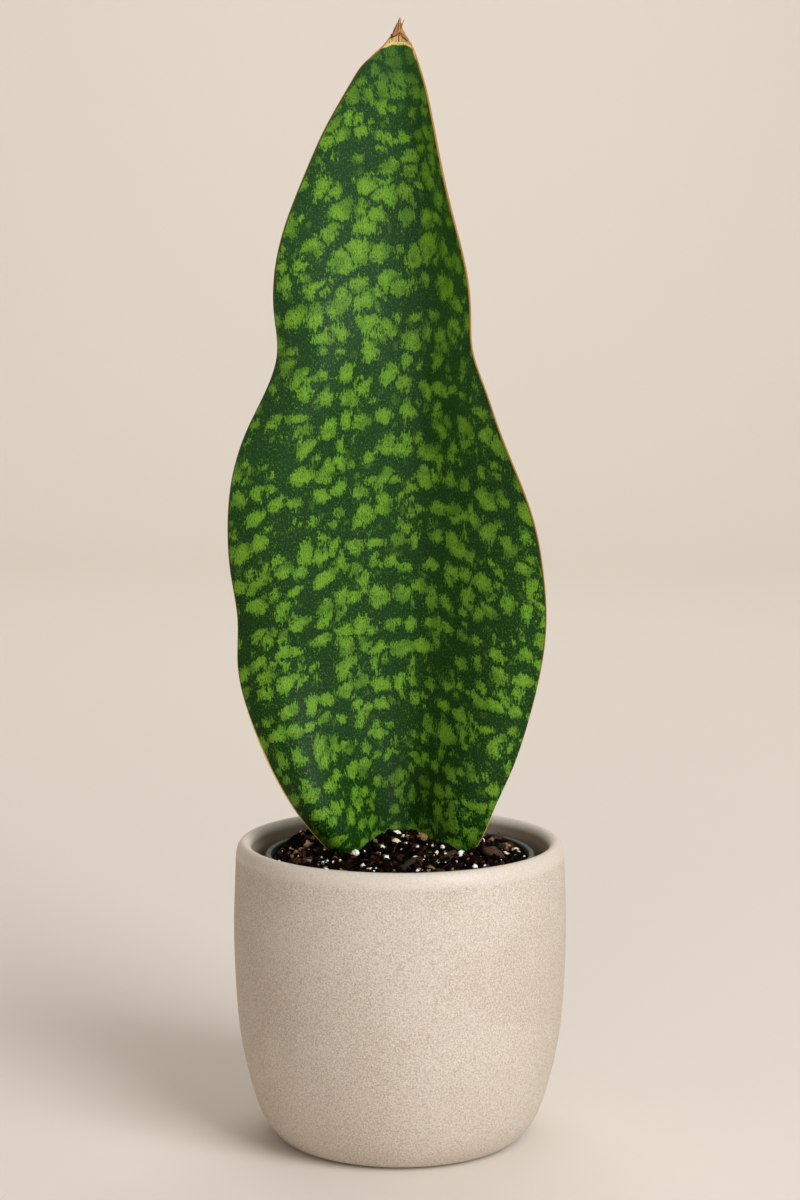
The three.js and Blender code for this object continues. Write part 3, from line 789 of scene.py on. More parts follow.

# %% [markdown]
# A snake plant's margin is a hard rind, golden on its edge with a dark line inside it. Towards the mix
# the dark line fades, and the rind is painted paler, and on the left broader, as light shining through
# it. Where the tip dried, the green ends in a level line that rounds down into both margins. Above it lie
# a pale lip, a tan hollow and brown husk. All of these follow lengths that the mesh carries: how far in
# from the margin a spot is, and how high.

# %% The leaf's rind and its dried end
GREEN_END = 488.2  # the height of the level line where the tip's green ends
RIND = {"breadth": 1.0, "left_foot_glow": 3.4, "foot": 1.2, "tip": 0.3, "right_low": 0.1, "right_high": 0.6}
CORNER = {"reach": 2.2, "drop": 1.1}  # how near a margin the level line rounds down, and how steeply


def with_rind(tree, colour, margin, across, height):
    """The green with its rind: gold up to half of its breadth from the margin, and then a dark line."""
    right = remap(tree, across, -1.0, 1.0)
    left = maths(tree, "SUBTRACT", 1.0, right)
    # Painted glow: on the left the rind is drawn broader towards the mix, as light shining through it.
    painted_glow_at_foot = remap(tree, height, 215.0, 150.0, 0.0, RIND["left_foot_glow"])
    broad = maths(tree, "MULTIPLY_ADD", left, painted_glow_at_foot, RIND["breadth"])
    broad = maths(tree, "ADD", broad, remap(tree, height, 152.0, 138.0, 0.0, RIND["foot"]))
    broad = maths(tree, "ADD", broad, remap(tree, height, 470.0, 488.0, 0.0, RIND["tip"]))
    narrow = remap(tree, height, 250.0, 350.0, RIND["right_low"], RIND["right_high"])
    breadth = maths(tree, "SUBTRACT", broad, maths(tree, "MULTIPLY", right, narrow))
    reach = maths(tree, "DIVIDE", margin, breadth)
    line = maths(tree, "MULTIPLY", remap(tree, reach, 1.1, 0.75), remap(tree, height, 170.0, 260.0, 0.0, 0.9))
    colour = blend(tree, line, colour, srgb(58, 52, 14))
    # Painted glow: the gold is paler towards the mix, as light shining through the rind.
    gold_with_painted_glow = blend(tree, remap(tree, height, 160.0, 240.0), srgb(250, 216, 112), srgb(154, 112, 44))
    return blend(tree, remap(tree, reach, 0.5, 0.28), colour, gold_with_painted_glow)


def with_dried_end(tree, colour, margin, height, strokes):
    """The colour with a pale lip, a streaked hollow and husk above the level line, one over the other."""
    corner = maths(tree, "MAXIMUM", maths(tree, "SUBTRACT", CORNER["reach"], margin), 0.0)
    uneven = maths(tree, "ADD", height, about_nought(tree, strokes, 0.8))
    ends = maths(tree, "MULTIPLY_ADD", corner, CORNER["drop"], uneven)
    colour = blend(tree, remap(tree, ends, GREEN_END, GREEN_END + 0.3), colour, srgb(212, 192, 104))
    hollow = blend(tree, remap(tree, strokes, 0.36, 0.5), srgb(104, 72, 38), srgb(190, 160, 108))
    colour = blend(tree, remap(tree, ends, GREEN_END + 1.1, GREEN_END + 1.6), colour, hollow)
    husk = blend(tree, remap(tree, strokes, 0.35, 0.55), srgb(92, 56, 26), srgb(180, 128, 66))
    return blend(tree, remap(tree, ends, GREEN_END + 4.2, GREEN_END + 5.0), colour, husk)


print("the green ends", round(LEAF_TIP - GREEN_END, 1), "mm below the tip")

# %% [markdown]
# The green itself is two colours and what lies between them. The ground is cooler towards the tip, and
# near the midrib at the base it is darkened with painted shade, deep in the channel. The patches are
# paler in their middles. Fine fibres run the length of the leaf, and its wax makes it satin: rough
# enough to blur every reflection.

# %% Leaf finish
def green(tree, uv, height, inside, light):
    """A fine noise, and light patches on a dark ground, both dappled by it."""
    fine = noise(tree, stretch(tree, uv, (2.2, 0.9, 1.0)), 1.0, 2.0, 0.7)
    ground = blend(tree, remap(tree, height, 180.0, 420.0), srgb(4, 43, 1), srgb(16, 52, 20))
    ground = blend(tree, remap(tree, fine, 0.42, 0.72, 0.0, 0.5), ground, srgb(46, 90, 28))
    patch = blend(tree, remap(tree, inside, 0.0, 4.0), srgb(70, 118, 10), srgb(95, 141, 26))
    patch = blend(tree, remap(tree, fine, 0.4, 0.7, 0.0, 0.6), patch, srgb(132, 172, 66))
    patch = blend(tree, remap(tree, fine, 0.47, 0.3, 0.0, 0.6), patch, srgb(46, 88, 14))
    return fine, blend(tree, light, ground, patch)


def make_leaf():
    """The mottled green, streaked by fibres and with painted shade deep in its channel, its rind and its
    dried end.
    """
    made, tree, shader, place = material("mottled_leaf")
    uv = put(tree, "UVMap", {"uv_map": "pattern"}).outputs[0]
    across = put(tree, "SeparateXYZ", {}, uv).outputs[0]
    margin = put(tree, "Attribute", {"attribute_name": "margin"}).outputs["Fac"]
    height = put(tree, "SeparateXYZ", {}, place).outputs[2]
    inside, light, strokes = mottle(tree, uv, height)
    fainter = remap(tree, height, 487.0, 452.0, 0.35, 1.0)
    light = maths(tree, "MULTIPLY", speckled(tree, uv, inside, light), fainter)
    fine, colour = green(tree, uv, height, inside, light)

    fibres = noise(tree, stretch(tree, uv, (1.4, 0.03, 1.0)), 1.0, 3.0, 0.7)
    shade = blend(tree, remap(tree, fibres, 0.3, 0.7), (0.84, 0.84, 0.84, 1), (1.12, 1.12, 1.12, 1))
    shaded = put(tree, "Mix", {"data_type": "RGBA", "blend_type": "MULTIPLY"}, 1.0)
    tree.links.new(colour, shaded.inputs[6])
    tree.links.new(shade, shaded.inputs[7])
    # Painted shade: near the midrib at the base the colour is darkened, as the shade between the leaf's
    # halves.
    channel = remap(tree, maths(tree, "ABSOLUTE", across), 36.0, 8.0)
    painted_channel_shade = maths(tree, "MULTIPLY", channel, remap(tree, height, 190.0, 145.0, 0.0, 0.35))
    colour = blend(tree, painted_channel_shade, shaded.outputs[2], srgb(8, 34, 2))
    colour = with_rind(tree, colour, margin, across, height)
    colour = with_dried_end(tree, colour, margin, height, strokes)
    tree.links.new(colour, shader.inputs["Base Color"])
    relief = maths(tree, "MULTIPLY_ADD", fibres, 0.5, fine)
    tree.links.new(bump(tree, relief, 0.05), shader.inputs["Normal"])
    shader.inputs["Roughness"].default_value = 0.52
    shader.inputs["Specular IOR Level"].default_value = 0.14
    return made


dress(leaf, make_leaf(), "leaf")

# %% [markdown]
# ## The potting mix
# Potting mix is dark peat and composted bark, with white perlite and a few bark chips. A picture of soil
# looks flat from close by, so the mix is real relief: a crumbly ground, and on it thousands of loose
# crumbs. Three helpers give the unevenness: a number that looks random but is the same on each run, a
# smooth noise made of such numbers at the corners of a lattice, and the sum of that noise at several
# sizes, which looks crumbly.

# %% Numbers for unevenness
def scatter(seed):
    """The fraction of a large sine: from 0 to 1, and the same for the same seed, as in the CAD model."""
    wave = np.sin(np.asarray(seed, float) * 12.9898) * 43758.5453
    return wave - np.floor(wave)


def smooth_noise(points):
    """From -1 to 1: random values at whole-number corners, eased into each other along all three axes."""
    cell = np.floor(points)
    part = points - cell
    ease = part * part * (3 - 2 * part)
    total = 0
    for corner in np.ndindex(2, 2, 2):
        weight = np.prod(np.where(corner, ease, 1 - ease), axis=-1)
        total = total + weight * scatter((cell + corner) @ np.array([1.27, 3.117, 7.47]))
    return 2 * total - 1


def crumbly(points, size, octaves):
    """Smooth noise of that size, plus finer and finer noise, each half as large and half as strong."""
    return sum(smooth_noise(points / size * 2**k + 17 * k) / 2**k for k in range(octaves))


print("the mean of 1000 scattered numbers is", round(float(scatter(np.arange(1000)).mean()), 3))

# %% [markdown]
# The ground is one closed skin that fills the grow pot. It is highest behind the middle, where the mix is
# heaped round the leaf, and the crumbly noise makes its top rough.

# %% The mix's ground
SOIL = {
    "edge": 126.5, "mound": 11.5, "mound_y": 18, "width": 50, "depth": 42, "levelling": 0.5, "gap": 0.3,
    "heap_x": -44, "heap_y": 32, "heap": 3.2, "heap_size": 17, "rings": 130, "sectors": 400,
}


def liner_inside(height):
    """The inner radius of the grow pot's tapered wall at a height."""
    low = LINER["bottom"] + LINER["floor"] + LINER["round"]
    share = (height - low) / (LINER["top"] - LINER["rim_wall"] - low)
    return LINER["foot"] - LINER["wall"] + (LINER["neck"] - LINER["foot"]) * share


MIX_RADIUS = liner_inside(SOIL["edge"]) - SOIL["gap"]
print("the mix is", round(MIX_RADIUS, 2), "mm in radius at its top")


def soil_height(x, y):
    """A bell-shaped mound behind the middle, flattened towards the wall, and a small heap at the back."""
    spread = (x / SOIL["width"]) ** 2 + ((y - SOIL["mound_y"]) / SOIL["depth"]) ** 2
    outward = np.hypot(x, y) / (MIX_RADIUS + SOIL["gap"])
    mound = SOIL["mound"] * np.exp(-spread) * (1 - SOIL["levelling"] * outward**4)
    near = ((x - SOIL["heap_x"]) ** 2 + (y - SOIL["heap_y"]) ** 2) / SOIL["heap_size"] ** 2
    return SOIL["edge"] + mound + SOIL["heap"] * np.exp(-near)


def relief(x, y):
    """The crumbly unevenness of the mix's top, in millimetres."""
    return 1.5 * crumbly(np.stack([x, y, 0 * x], -1), 7, 4) - 0.6


def soil_skin():
    """From the floor's middle out to the wall, up the wall, and over the crumbly top to its middle."""
    angle = np.arange(SOIL["sectors"]) * 2 * math.pi / SOIL["sectors"]
    floor = LINER["bottom"] + LINER["floor"]
    foot = LINER["foot"] - LINER["wall"] - SOIL["gap"] - LINER["round"]
    side = np.linspace((foot, floor), (MIX_RADIUS - 0.4, SOIL["edge"] - 2), 12)
    top = np.linspace(MIX_RADIUS - 0.4, 0.4, SOIL["rings"])[:, None]
    x, y = top * np.cos(angle), top * np.sin(angle)
    settle = np.clip((MIX_RADIUS - top) / 3, 0.25, 1)
    surface = np.stack([x, y, soil_height(x, y) + relief(x, y) * settle], -1)
    wall = np.stack(np.broadcast_arrays(
        side[:, :1] * np.cos(angle), side[:, :1] * np.sin(angle), side[:, 1:]), -1)
    return skin("potting_mix_ground", np.concatenate([wall, surface])[None])


ground = soil_skin()

# %% [markdown]
# Every loose bit is a lump: a globe whose radius varies with a noise of its own. Crumbs and clods are
# peat. Perlite is glass that was puffed up by heat, so its grains are rounder. Bark chips are flat and
# blocky.

# %% Lumps
def turns(number, seed):
    """A turning matrix for each lump: about Z by any angle, then leaning up to half a radian two ways."""
    a = scatter(number * 5.1 + seed) * 2 * math.pi
    b = scatter(number * 9.7 + seed) - 0.5
    c = scatter(number * 2.9 + seed) - 0.5
    nought, one = 0 * a, 0 * a + 1

    def matrix(rows):
        """Three rows of three arrays as one 3 by 3 matrix for each lump."""
        return np.moveaxis(np.array(rows), -1, 0)

    about_z = matrix([[np.cos(a), -np.sin(a), nought], [np.sin(a), np.cos(a), nought], [nought, nought, one]])
    about_x = matrix([[one, nought, nought], [nought, np.cos(b), -np.sin(b)], [nought, np.sin(b), np.cos(b)]])
    about_y = matrix([[np.cos(c), nought, np.sin(c)], [nought, one, nought], [-np.sin(c), nought, np.cos(c)]])
    return about_z @ about_x @ about_y


def lumps(name, centres, sizes, tone, shape, seed, rows, columns, rough, square=1.0):
    """Closed lumps: globes whose radius varies with a noise of their own, scaled, turned and put in place.

    square below 1 pushes the globe out towards a block: each cosine and sine is raised to that power.
    """
    number = np.arange(len(centres))
    up = np.linspace(-math.pi / 2, math.pi / 2, rows + 2)[1:-1][:, None]
    round_the_axis = (np.arange(columns) * 2 * math.pi / columns)[None, :]

    def power(value):
        """The value's size to the power of square, with its own sign."""
        return np.sign(value) * np.abs(value) ** square

    globe = np.stack(np.broadcast_arrays(
        power(np.cos(up)) * power(np.cos(round_the_axis)), power(np.cos(up)) * power(np.sin(round_the_axis)),
        power(np.sin(up))), -1)
    poles = np.array([[0, 0, -1.0], [0, 0, 1.0]])

    def place(points):
        """The globe's points times each lump's own radius, shape and size, turned, at its centre."""
        each = (len(centres),) + (1,) * (points.ndim - 1)
        drift = scatter(number * 3.7 + seed).reshape(*each, 1) * 90
        radius = 1 + rough * crumbly(points[None] * 1.7 + drift, 1.0, 2)
        local = points * radius[..., None] * shape.reshape(*each, 3) * sizes.reshape(*each, 1)
        return np.einsum("nij,n...j->n...i", turns(number, seed), local) + centres.reshape(*each, 3)

    tone = tone[:, None, None, None] + np.zeros((len(centres), rows, columns, 1))
    return skin(name, place(globe), place(poles), tone=tone)


print("a lump leans by up to", round(math.degrees(0.5)), "degrees each way")

# %% [markdown]
# The larger grains lie where the CAD model has them: some noted one by one, and the rest at golden
# angles. The smaller bits are sown between them at golden angles as well, which spreads them evenly
# without rows. None may reach into the leaf.

# %% Where the lumps lie
GOLDEN_ANGLE = math.pi * (3 - math.sqrt(5))
LEAF_AT_MIX = 134.0  # the height at which the leaf comes out of the mix, in millimetres


def sown(count, seed, least, most, reach):
    """Spots by the golden angle, shifted a little, and sizes of which most are small: x, y and size."""
    number = np.arange(count)
    radius = reach * np.sqrt((number + 0.3 + 0.4 * scatter(number * 1.3 + seed)) / count)
    angle = number * GOLDEN_ANGLE + 2.0 * scatter(number * 2.1 + seed) + seed
    size = least + (most - least) * scatter(number * 4.7 + seed) ** 2
    return np.stack([radius * np.cos(angle), radius * np.sin(angle), size], -1)


def as_modelled(noted, count, seed, least, most):
    """The CAD model's granules of one kind: the noted spots, and then those that its own rule scatters."""
    number = np.arange(count)
    first, second, third = (scatter(seed + number * 10 + k) for k in (1, 2, 3))
    reach = MIX_RADIUS - 1.3 * most
    radius = reach * np.sqrt((number + 0.3 + 0.4 * first) / count)
    angle = GOLDEN_ANGLE * number + 0.5 * second + seed
    size = least + (most - least) * third**1.5
    return np.concatenate([noted, np.stack([radius * np.cos(angle), radius * np.sin(angle), size], -1)])


def clear_of_leaf(x, y, size):
    """True where a lump of that size doesn't reach into the leaf's section at the mix's surface."""
    across = np.linspace(-1, 1, 121)
    height = np.full(across.shape, LEAF_AT_MIX)
    line = blade(across, height)
    half = half_thickness(across, height)
    gap = np.hypot(x[:, None] - line[:, 0], y[:, None] - line[:, 1]) - half
    return gap.min(axis=1) > size * 0.75


def granules(name, spots, seed, shape, raised, rows, columns, rough, square=1.0):
    """A lump at each spot that the leaf leaves free, raised out of the ground by a share of its size.

    shape is its length, breadth and height as shares of its size, each varied by a fifth.
    """
    x, y, size = spots[clear_of_leaf(*spots.T)].T
    number = np.arange(len(x))
    own = np.array(shape) * (0.8 + 0.4 * scatter(np.add.outer(number * 3.3, [0.1, 0.7, 1.9]) + seed))
    centres = np.stack([x, y, soil_height(x, y) + relief(x, y) + size * raised], -1)
    tone = scatter(number * 7.3 + seed + 5)
    return lumps(name, centres, size, tone, own, seed, rows, columns, rough, square)


print("the golden angle is", round(math.degrees(GOLDEN_ANGLE), 1), "degrees")

# %% Crumbs, perlite and bark
NOTED_PERLITE = [
    (-28.8, -11.8, 1.4), (-19.6, -14.5, 1.5), (-5.8, -18.5, 1.3), (-33.8, -19.2, 1.2), (-1.4, 8.1, 1.5),
    (-1.6, -1.2, 1.9), (8.1, -5.0, 1.1), (11.4, -7.1, 1.0), (19.1, -7.6, 1.3), (16.5, -13.6, 1.3),
    (20.7, -15.3, 1.0), (26.8, -14.8, 1.6), (6.9, -22.6, 1.5), (10.4, -19.7, 0.8), (16.8, -24.3, 0.9),
    (33.2, -25.1, 1.5), (37.6, -23.3, 0.8), (48.0, -1.4, 1.2), (45.8, -17.8, 0.9), (-13.2, -27.5, 0.7),
    (-26.7, -18.3, 0.7), (38.0, 17.1, 1.1), (7.7, -34.9, 0.7),
]
NOTED_STAINED = [(-41.9, 10.5, 2.2), (-44.8, 3.9, 1.2), (-49.1, 7.5, 1.1)]
NOTED_BARK = [(3.5, -30.4, 3.4), (42.2, -7.2, 3.8), (47.0, 11.6, 2.4), (-5.1, -25.9, 1.7)]

crumbs = granules(
    "potting_mix_crumbs", sown(4000, seed=3.0, least=0.3, most=1.4, reach=MIX_RADIUS - 1.9), seed=3.0,
    shape=(1.15, 0.85, 0.75), raised=0.35, rows=4, columns=6, rough=0.5)
clods = granules(
    "potting_mix_clods", sown(330, seed=5.0, least=1.1, most=2.5, reach=MIX_RADIUS - 3.2), seed=5.0,
    shape=(1.1, 0.9, 0.75), raised=0.2, rows=6, columns=9, rough=0.6)
perlite = granules(
    "potting_mix_perlite", as_modelled(NOTED_PERLITE, 34, seed=1, least=0.7, most=1.6), seed=1.0,
    shape=(1.0, 0.9, 0.8), raised=0.45, rows=7, columns=10, rough=0.5)
stained = granules(
    "potting_mix_perlite_stained", np.array(NOTED_STAINED), seed=6.0,
    shape=(1.0, 0.9, 0.8), raised=0.45, rows=9, columns=14, rough=0.5)
dust = granules(
    "potting_mix_perlite_dust", sown(260, seed=1.7, least=0.3, most=0.85, reach=MIX_RADIUS - 1.2), seed=1.7,
    shape=(1.0, 0.8, 0.7), raised=0.6, rows=4, columns=6, rough=0.4)
bark = granules(
    "potting_mix_bark", as_modelled(NOTED_BARK, 16, seed=2, least=1.6, most=3.4), seed=2.0,
    shape=(1.2, 0.85, 0.5), raised=0.15, rows=9, columns=14, rough=0.55, square=0.7)

# %% [markdown]
# Between the crumbs lie thin fibres of bark. A strand is a tube along a path, so its rings stand square
# to it.

# %% Fibres in the mix
def strands(name, paths, radius, tone, sides, level):
    """Tubes. paths[b, r] are points along tube b, radius[b, r] is its radius there, and tone[b] is its shade.

    level is a direction that no path runs along. A ring's two axes are square to the path, and one of them is
    square to level as well.
    """
    run = np.gradient(paths, axis=1)
    run /= np.linalg.norm(run, axis=-1, keepdims=True)
    side = np.cross(np.array(level, float), run)
    side /= np.linalg.norm(side, axis=-1, keepdims=True)
    up = np.cross(run, side)
    turn = (np.arange(sides) * 2 * math.pi / sides)[:, None]
    spokes = np.cos(turn) * side[:, :, None] + np.sin(turn) * up[:, :, None]
    rings = paths[:, :, None] + radius[:, :, None, None] * spokes
    tone = tone[:, None, None, None] + np.zeros(rings.shape[:3] + (1,))
    return skin(name, rings, paths[:, [0, -1]], tone=tone)


def soil_fibres(count, shortest=3.0, longest=9.0):
    """Each starts at a sown place, runs on in some direction by its own length, and bends as it goes."""
    x, y, size = sown(count, 8.0, shortest, longest, MIX_RADIUS - longest).T
    number = np.arange(count)
    heading = scatter(number * 3.1 + 8) * 2 * math.pi
    bend = (scatter(number * 6.7 + 8) - 0.5) * 0.5
    share = np.linspace(0, 1, 9)[None, :]
    way = heading[:, None] + bend[:, None] * share * size[:, None]
    px = x[:, None] + np.cumsum(np.cos(way), axis=1) * size[:, None] / 9
    py = y[:, None] + np.cumsum(np.sin(way), axis=1) * size[:, None] / 9
    rise = 0.5 + 0.8 * np.sin(share * math.pi) * scatter(number * 2.3)[:, None]
    paths = np.stack([px, py, soil_height(px, py) + relief(px, py) + rise], -1)
    keep = clear_of_leaf(px.ravel(), py.ravel(), np.full(px.size, 0.6)).reshape(px.shape).all(axis=1)
    thick = (0.1 + 0.14 * scatter(number * 8.9)[:, None]) * (1 - 0.6 * share)
    tone = scatter(number * 7.3 + 5)
    return strands("potting_mix_fibres", paths[keep], thick[keep], tone[keep], 5, (0, 0, 1))


fibres = soil_fibres(150)

# %% [markdown]
# The tip of the leaf has dried. Its flesh shrank to a thin husk: the two margins rolled inwards, a fold
# arches over a tan hollow, and the end split into two prongs. All of these are strands too. Those on the
# blade follow it a little way in front of its face, and each has its own shade, from dark brown by golden
# brown to a pale yellow.

# %% The dried tip
ON_BLADE = [  # (across, height) at four places, lift in front of the face, radius, and shade
    ([(-0.96, 481), (-0.97, 486), (-0.96, 491), (-0.8, 497)], 0.1, 0.38, 0.5),
    ([(0.96, 482), (0.97, 487), (0.96, 491), (0.8, 497)], 0.12, 0.42, 0.6),
    ([(-0.93, 487.0), (-0.5, 489.0), (0.2, 489.1), (0.93, 487.6)], 0.05, 0.42, 1.0),
    ([(-0.85, 491.4), (-0.35, 493.0), (0.25, 493.1), (0.9, 489.8)], 0.15, 0.34, 0.08),
    ([(-0.85, 492.2), (-0.3, 493.8), (0.25, 493.9), (0.9, 490.8)], 0.2, 0.4, 0.5),
    ([(-0.12, 489.6), (-0.1, 490.6), (-0.12, 491.8), (-0.08, 492.8)], 0.05, 0.26, 0.02),
    ([(0.14, 489.6), (0.12, 490.8), (0.14, 492.0), (0.12, 493.2)], 0.1, 0.26, 0.85),
    ([(-0.45, 489.8), (-0.42, 490.6), (-0.4, 491.6), (-0.35, 492.6)], 0.0, 0.24, 0.75),
    ([(-0.6, 493.4), (-0.5, 494.8), (-0.4, 496.2), (-0.2, 497.6)], 0.1, 0.36, 0.32),
    ([(-0.2, 493.6), (-0.15, 494.8), (-0.1, 496.2), (0.0, 497.6)], 0.2, 0.36, 0.62),
    ([(0.25, 493.4), (0.25, 494.8), (0.2, 496.0), (0.1, 497.4)], 0.2, 0.36, 0.7),
    ([(0.65, 492.4), (0.6, 494.0), (0.5, 495.6), (0.3, 497.0)], 0.1, 0.36, 0.48),
]
IN_THE_AIR = [  # (x, y, z) at four places, radius, and shade: two prongs, a dark thorn and a knob
    ([(-0.3, 1.0, 495.0), (-0.2, 0.9, 496.8), (-0.25, 1.0, 498.4), (-0.15, 1.2, 499.8)], 0.36, 0.56),
    ([(0.3, 1.0, 495.4), (0.9, 0.8, 497.0), (1.4, 0.8, 498.2), (1.9, 1.0, 499.2)], 0.4, 0.5),
    ([(-2.8, 0.4, 493.6), (-2.3, 0.3, 495.0), (-1.7, 0.3, 496.4), (-1.1, 0.4, 497.7)], 0.38, 0.04),
    ([(-3.2, 0.5, 491.6), (-3.5, 0.3, 492.1), (-3.75, 0.2, 492.5), (-3.95, 0.2, 492.9)], 0.46, 0.06),
]


def front_of_leaf(across, height, lift):
    """A point that far in front of the blade's front face."""
    middle = blade(across, height)
    return middle - blade_back(across, height) * (half_thickness(across, height) + lift)[..., None]


def dried_tip(steps=14):
    """Strands on the blade, which swell and thin unevenly, and strands in the air, which taper."""
    share = np.linspace(0, 1, steps + 1)
    paths, radii, shades = [], [], []
    for knots, lift, radius, shade in ON_BLADE:
        across, height = path_through(knots, steps).T
        wobble = smooth_noise(np.stack([9 * across, height / 1.1, 0 * height + shade * 9], -1))
        paths.append(front_of_leaf(across + 0.03 * wobble, height, lift + 0.12 * wobble))
        radii.append(radius * (1 - 0.35 * share + 0.25 * wobble) * np.minimum(1, 0.3 + 4 * share))
        shades.append(shade)
    for knots, radius, shade in IN_THE_AIR:
        paths.append(path_through(knots, steps))
        radii.append(radius * (1.05 - 0.7 * share))
        shades.append(shade)
    return strands("leaf_dried_tip", np.array(paths), np.array(radii), np.array(shades), 8, (0, 1, 0))


def make_husk():
    """Each strand's shade, streaked with a darker brown."""
    made, tree, shader, place = material("dried_leaf")
    tone = put(tree, "Attribute", {"attribute_name": "tone"}).outputs["Fac"]
    streaks = noise(tree, stretch(tree, place, (2.2, 2.2, 0.5)), 1.0, 2.0, 0.6)
    colour = blend(tree, remap(tree, tone, 0.1, 0.4), srgb(54, 32, 16), srgb(140, 88, 42))
    colour = blend(tree, remap(tree, tone, 0.4, 0.65), colour, srgb(208, 148, 74))
    colour = blend(tree, remap(tree, tone, 0.7, 1.0), colour, srgb(218, 200, 122))
    streak = remap(tree, streaks, 0.5, 0.36, 0.0, 0.75)
    colour = blend(tree, streak, colour, srgb(74, 44, 20))
    tree.links.new(colour, shader.inputs["Base Color"])
    tree.links.new(bump(tree, streaks, 0.2), shader.inputs["Normal"])
    shader.inputs["Roughness"].default_value = 0.6
    return made


dress(dried_tip(), make_husk(), "leaf")

# %% [markdown]
# Under the mix, the leaf grows from a rhizome: a thick orange-brown underground stem, ringed by the scars
# of old scales. It is the CAD model's ellipsoid, with a low ridge at every scar.

# %% The rhizome
RHIZOME = {"x": 5, "y": 13, "z": 88, "length": 54, "thickness": 22, "turn": 0.35, "scars": 9}


def rhizome_skin(rows=90, columns=40):
    """Rings round the long axis. Their radius is a circle's half-chord, a little less between the scars."""
    r = RHIZOME
    bend = np.linspace(0.05, math.pi - 0.05, rows)[:, None]
    along = -np.cos(bend) * r["length"] / 2
    ridge = np.abs(np.sin(along / r["length"] * math.pi * r["scars"])) ** 6
    radius = np.sin(bend) * r["thickness"] / 2 * (0.94 + 0.06 * ridge)
    turn = (np.arange(columns) * 2 * math.pi / columns)[None, :]
    across, up = radius * np.cos(turn), radius * np.sin(turn)
    x = r["x"] + along * math.cos(r["turn"]) - across * math.sin(r["turn"])
    y = r["y"] + along * math.sin(r["turn"]) + across * math.cos(r["turn"])
    rings = np.stack([x, y, r["z"] + up], -1)
    return skin("leaf_rhizome", rings[None])


def make_root():
    """Pale orange-brown with darker streaks round the stem, as on a root that has been in damp soil."""
    made, tree, shader, place = material("rhizome")
    rough, mask = grain(tree, place, 2.5)
    colour = blend(tree, mask, srgb(196, 128, 70), srgb(150, 88, 44))
    tree.links.new(colour, shader.inputs["Base Color"])
    tree.links.new(bump(tree, rough, 0.4), shader.inputs["Normal"])
    shader.inputs["Roughness"].default_value = 0.65
    return made


dress(rhizome_skin(), make_root(), "leaf")

# %% [markdown]
# Peat is nearly black where it is damp, with a few crumbs of a lighter brown. Perlite is the whitest
# thing in the pot, but damp has stained three of its grains. Bark is red-brown, in layers. Each finish
# takes its shade from the lump's own number, so no two are alike.

# %% Finishes of the mix
def make_peat():
    """Near-black brown, with some crumbs lighter or redder than the rest, and dark grain on each."""
    made, tree, shader, place = material("peat_and_compost")
    tone = put(tree, "Attribute", {"attribute_name": "tone"}).outputs["Fac"]
    height, mask = grain(tree, place, 0.7)
    colour = blend(tree, remap(tree, tone, 0.0, 0.75), srgb(5, 3, 2), srgb(27, 17, 10))
    colour = blend(tree, remap(tree, tone, 0.8, 0.9), colour, srgb(80, 52, 32))
    colour = blend(tree, remap(tree, tone, 0.94, 0.96), colour, srgb(172, 136, 94))
    colour = blend(tree, maths(tree, "MULTIPLY", mask, 0.7), colour, srgb(4, 2, 1))
    tree.links.new(colour, shader.inputs["Base Color"])
    tree.links.new(bump(tree, height, 0.5), shader.inputs["Normal"])
    shader.inputs["Roughness"].default_value = 0.85
    shader.inputs["Specular IOR Level"].default_value = 0.04
    return made


def make_perlite(name, fresh, aged):
    """Expanded glass pitted with small pores greyed as painted shade, between a fresh and an aged colour."""
    made, tree, shader, place = material(name)
    tone = put(tree, "Attribute", {"attribute_name": "tone"}).outputs["Fac"]
    pores = put(tree, "TexVoronoi", {}, place, Scale=1.6).outputs["Distance"]
    colour = blend(tree, remap(tree, tone, 0.55, 0.95), srgb(*fresh), srgb(*aged))
    # Painted shade: the colour is greyed in the pits of the pores.
    colour = blend(tree, remap(tree, pores, 0.25, 0.08, 0.0, 0.3), colour, srgb(150, 138, 122))
    tree.links.new(colour, shader.inputs["Base Color"])
    tree.links.new(bump(tree, pores, 0.3), shader.inputs["Normal"])
    shader.inputs["Roughness"].default_value = 0.6
    return made


def make_bark():
    """Red-brown to tan, with dark lines between its layers."""
    made, tree, shader, place = material("bark_chips")
    tone = put(tree, "Attribute", {"attribute_name": "tone"}).outputs["Fac"]
    layers = noise(tree, stretch(tree, place, (0.5, 1.2, 3.0)), 1.3, 3.0, 0.6)
    colour = blend(tree, remap(tree, tone, 0.2, 1.0), srgb(56, 33, 16), srgb(116, 70, 34))
    colour = blend(tree, remap(tree, layers, 0.4, 0.6), colour, srgb(24, 15, 8))
    tree.links.new(colour, shader.inputs["Base Color"])
    tree.links.new(bump(tree, layers, 0.8), shader.inputs["Normal"])
    shader.inputs["Roughness"].default_value = 0.8
    return made


peat = make_peat()
white = make_perlite("perlite", (255, 253, 247), (240, 220, 184))
cream = make_perlite("perlite_stained", (226, 196, 150), (206, 166, 116))
brown = make_bark()
finishes = {
    ground: peat, crumbs: peat, clods: peat, perlite: white, stained: cream, dust: white, bark: brown,
    fibres: brown,
}
for piece, finish in finishes.items():
    dress(piece, finish, "potting_mix")

# %% [markdown]
# ## The floor and the lights
# The floor is a plain pale sheet that curves up into a backdrop, so that no line shows behind the plant.
# It is not attached to the part's body, which keeps it out of the part.

# %% The floor
FLOOR = {"half_width": 8, "front": -6, "bend_at": 2.5, "bend": 1.5, "back": 4, "top": 8}  # in metres


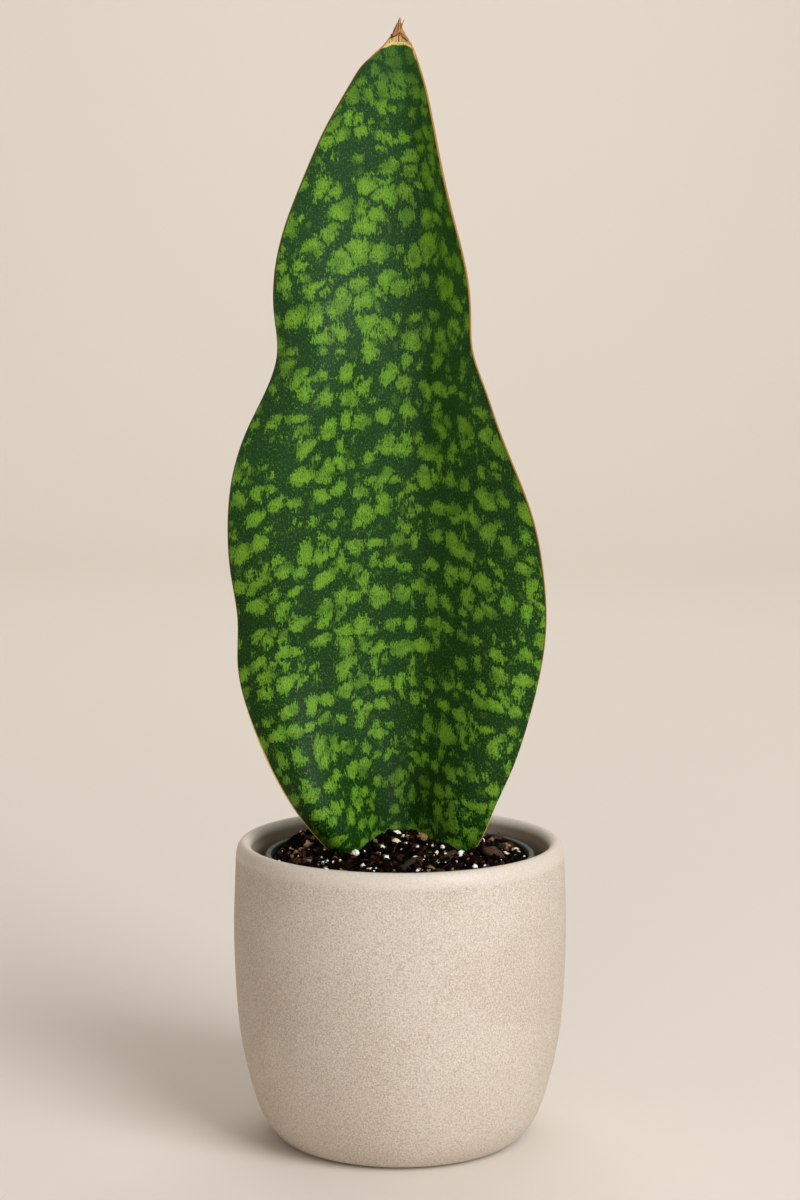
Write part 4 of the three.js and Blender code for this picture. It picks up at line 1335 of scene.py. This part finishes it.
def make_floor():
    """A sheet that lies flat, turns up in a quarter circle and ends upright, far outside the picture."""
    turn = np.linspace(0, math.pi / 2, 24)
    bend = np.stack([FLOOR["bend_at"] + np.sin(turn) * FLOOR["bend"], (1 - np.cos(turn)) * FLOOR["bend"]], -1)
    run = np.concatenate([[[FLOOR["front"], 0]], bend, [[FLOOR["back"], FLOOR["top"]]]])
    points = [(x, y, z) for y, z in run.tolist() for x in (-FLOOR["half_width"], FLOOR["half_width"])]
    faces = [(2 * i, 2 * i + 1, 2 * i + 3, 2 * i + 2) for i in range(len(run) - 1)]
    mesh = bpy.data.meshes.new("floor")
    mesh.from_pydata(points, [], faces)
    mesh.polygons.foreach_set("use_smooth", [True] * len(faces))
    floor = bpy.data.objects.new("floor", mesh)
    bpy.context.scene.collection.objects.link(floor)
    made, _, shader, _ = material("pale_floor")
    shader.inputs["Base Color"].default_value = srgb(226, 218, 208)
    shader.inputs["Roughness"].default_value = 0.8
    mesh.materials.append(made)
    print("the floor has", len(faces), "faces")


make_floor()

# %% [markdown]
# The light is soft daylight: one large lamp at the front right gives the shapes, and a smaller one above it
# reaches down into the pot. A weak lamp in front keeps the channel of the leaf from going black. A weak
# warm one low at the left softens the pot's shaded side, and a narrow cool one gives the upper left margin
# its sheen. The last lamp lights the backdrop, and a pale sky fills the shadows.

# %% The lights
LAMPS = {  # the place and the aim in metres, the size in metres, watts, the colour, and the beam in degrees
    "key": ((1.58, -1.75, 1.3), (0, 0, 0.25), 1.5, 47, (0.97, 0.985, 1.0), 180),
    "front": ((-0.25, -2.0, 0.45), (0, 0, 0.25), 0.8, 3.5, (1.0, 0.98, 0.95), 180),
    "high": ((0.9, -1.2, 1.9), (0, 0, 0.13), 0.9, 13, (0.97, 0.985, 1.0), 180),
    "fill": ((-1.8, -0.5, 0.3), (0, 0, 0.15), 1.2, 1.2, (1.0, 0.62, 0.3), 180),
    "side": ((-1.7, -1.0, 1.0), (0.02, 0, 0.44), 0.3, 0.085, (0.92, 0.98, 1.0), 12),
    "backdrop": ((0, 1.3, 3.2), (0, 4, 0.9), 1.8, 62, (1.0, 0.98, 0.96), 180),
}


def lamp(name, place, aim, size, power, colour, spread):
    """A square area light at a place, facing its aim. A spread below 180 degrees narrows its beam."""
    data = bpy.data.lights.new(name, "AREA")
    data.size = size
    data.energy = power
    data.spread = math.radians(spread)
    data.color = colour
    made = bpy.data.objects.new(name, data)
    made.location = place
    made.rotation_euler = (Vector(aim) - Vector(place)).to_track_quat("-Z", "Y").to_euler()
    bpy.context.scene.collection.objects.link(made)
    print("lamp", name, power, "W")


for name, settings in LAMPS.items():
    lamp(name, *settings)
world = bpy.data.worlds.new("pale_sky")
world.use_nodes = True
world.node_tree.nodes["Background"].inputs["Color"].default_value = (1.0, 0.93, 0.85, 1)
world.node_tree.nodes["Background"].inputs["Strength"].default_value = 0.32
bpy.context.scene.world = world
bpy.context.scene.view_settings.view_transform = "Standard"
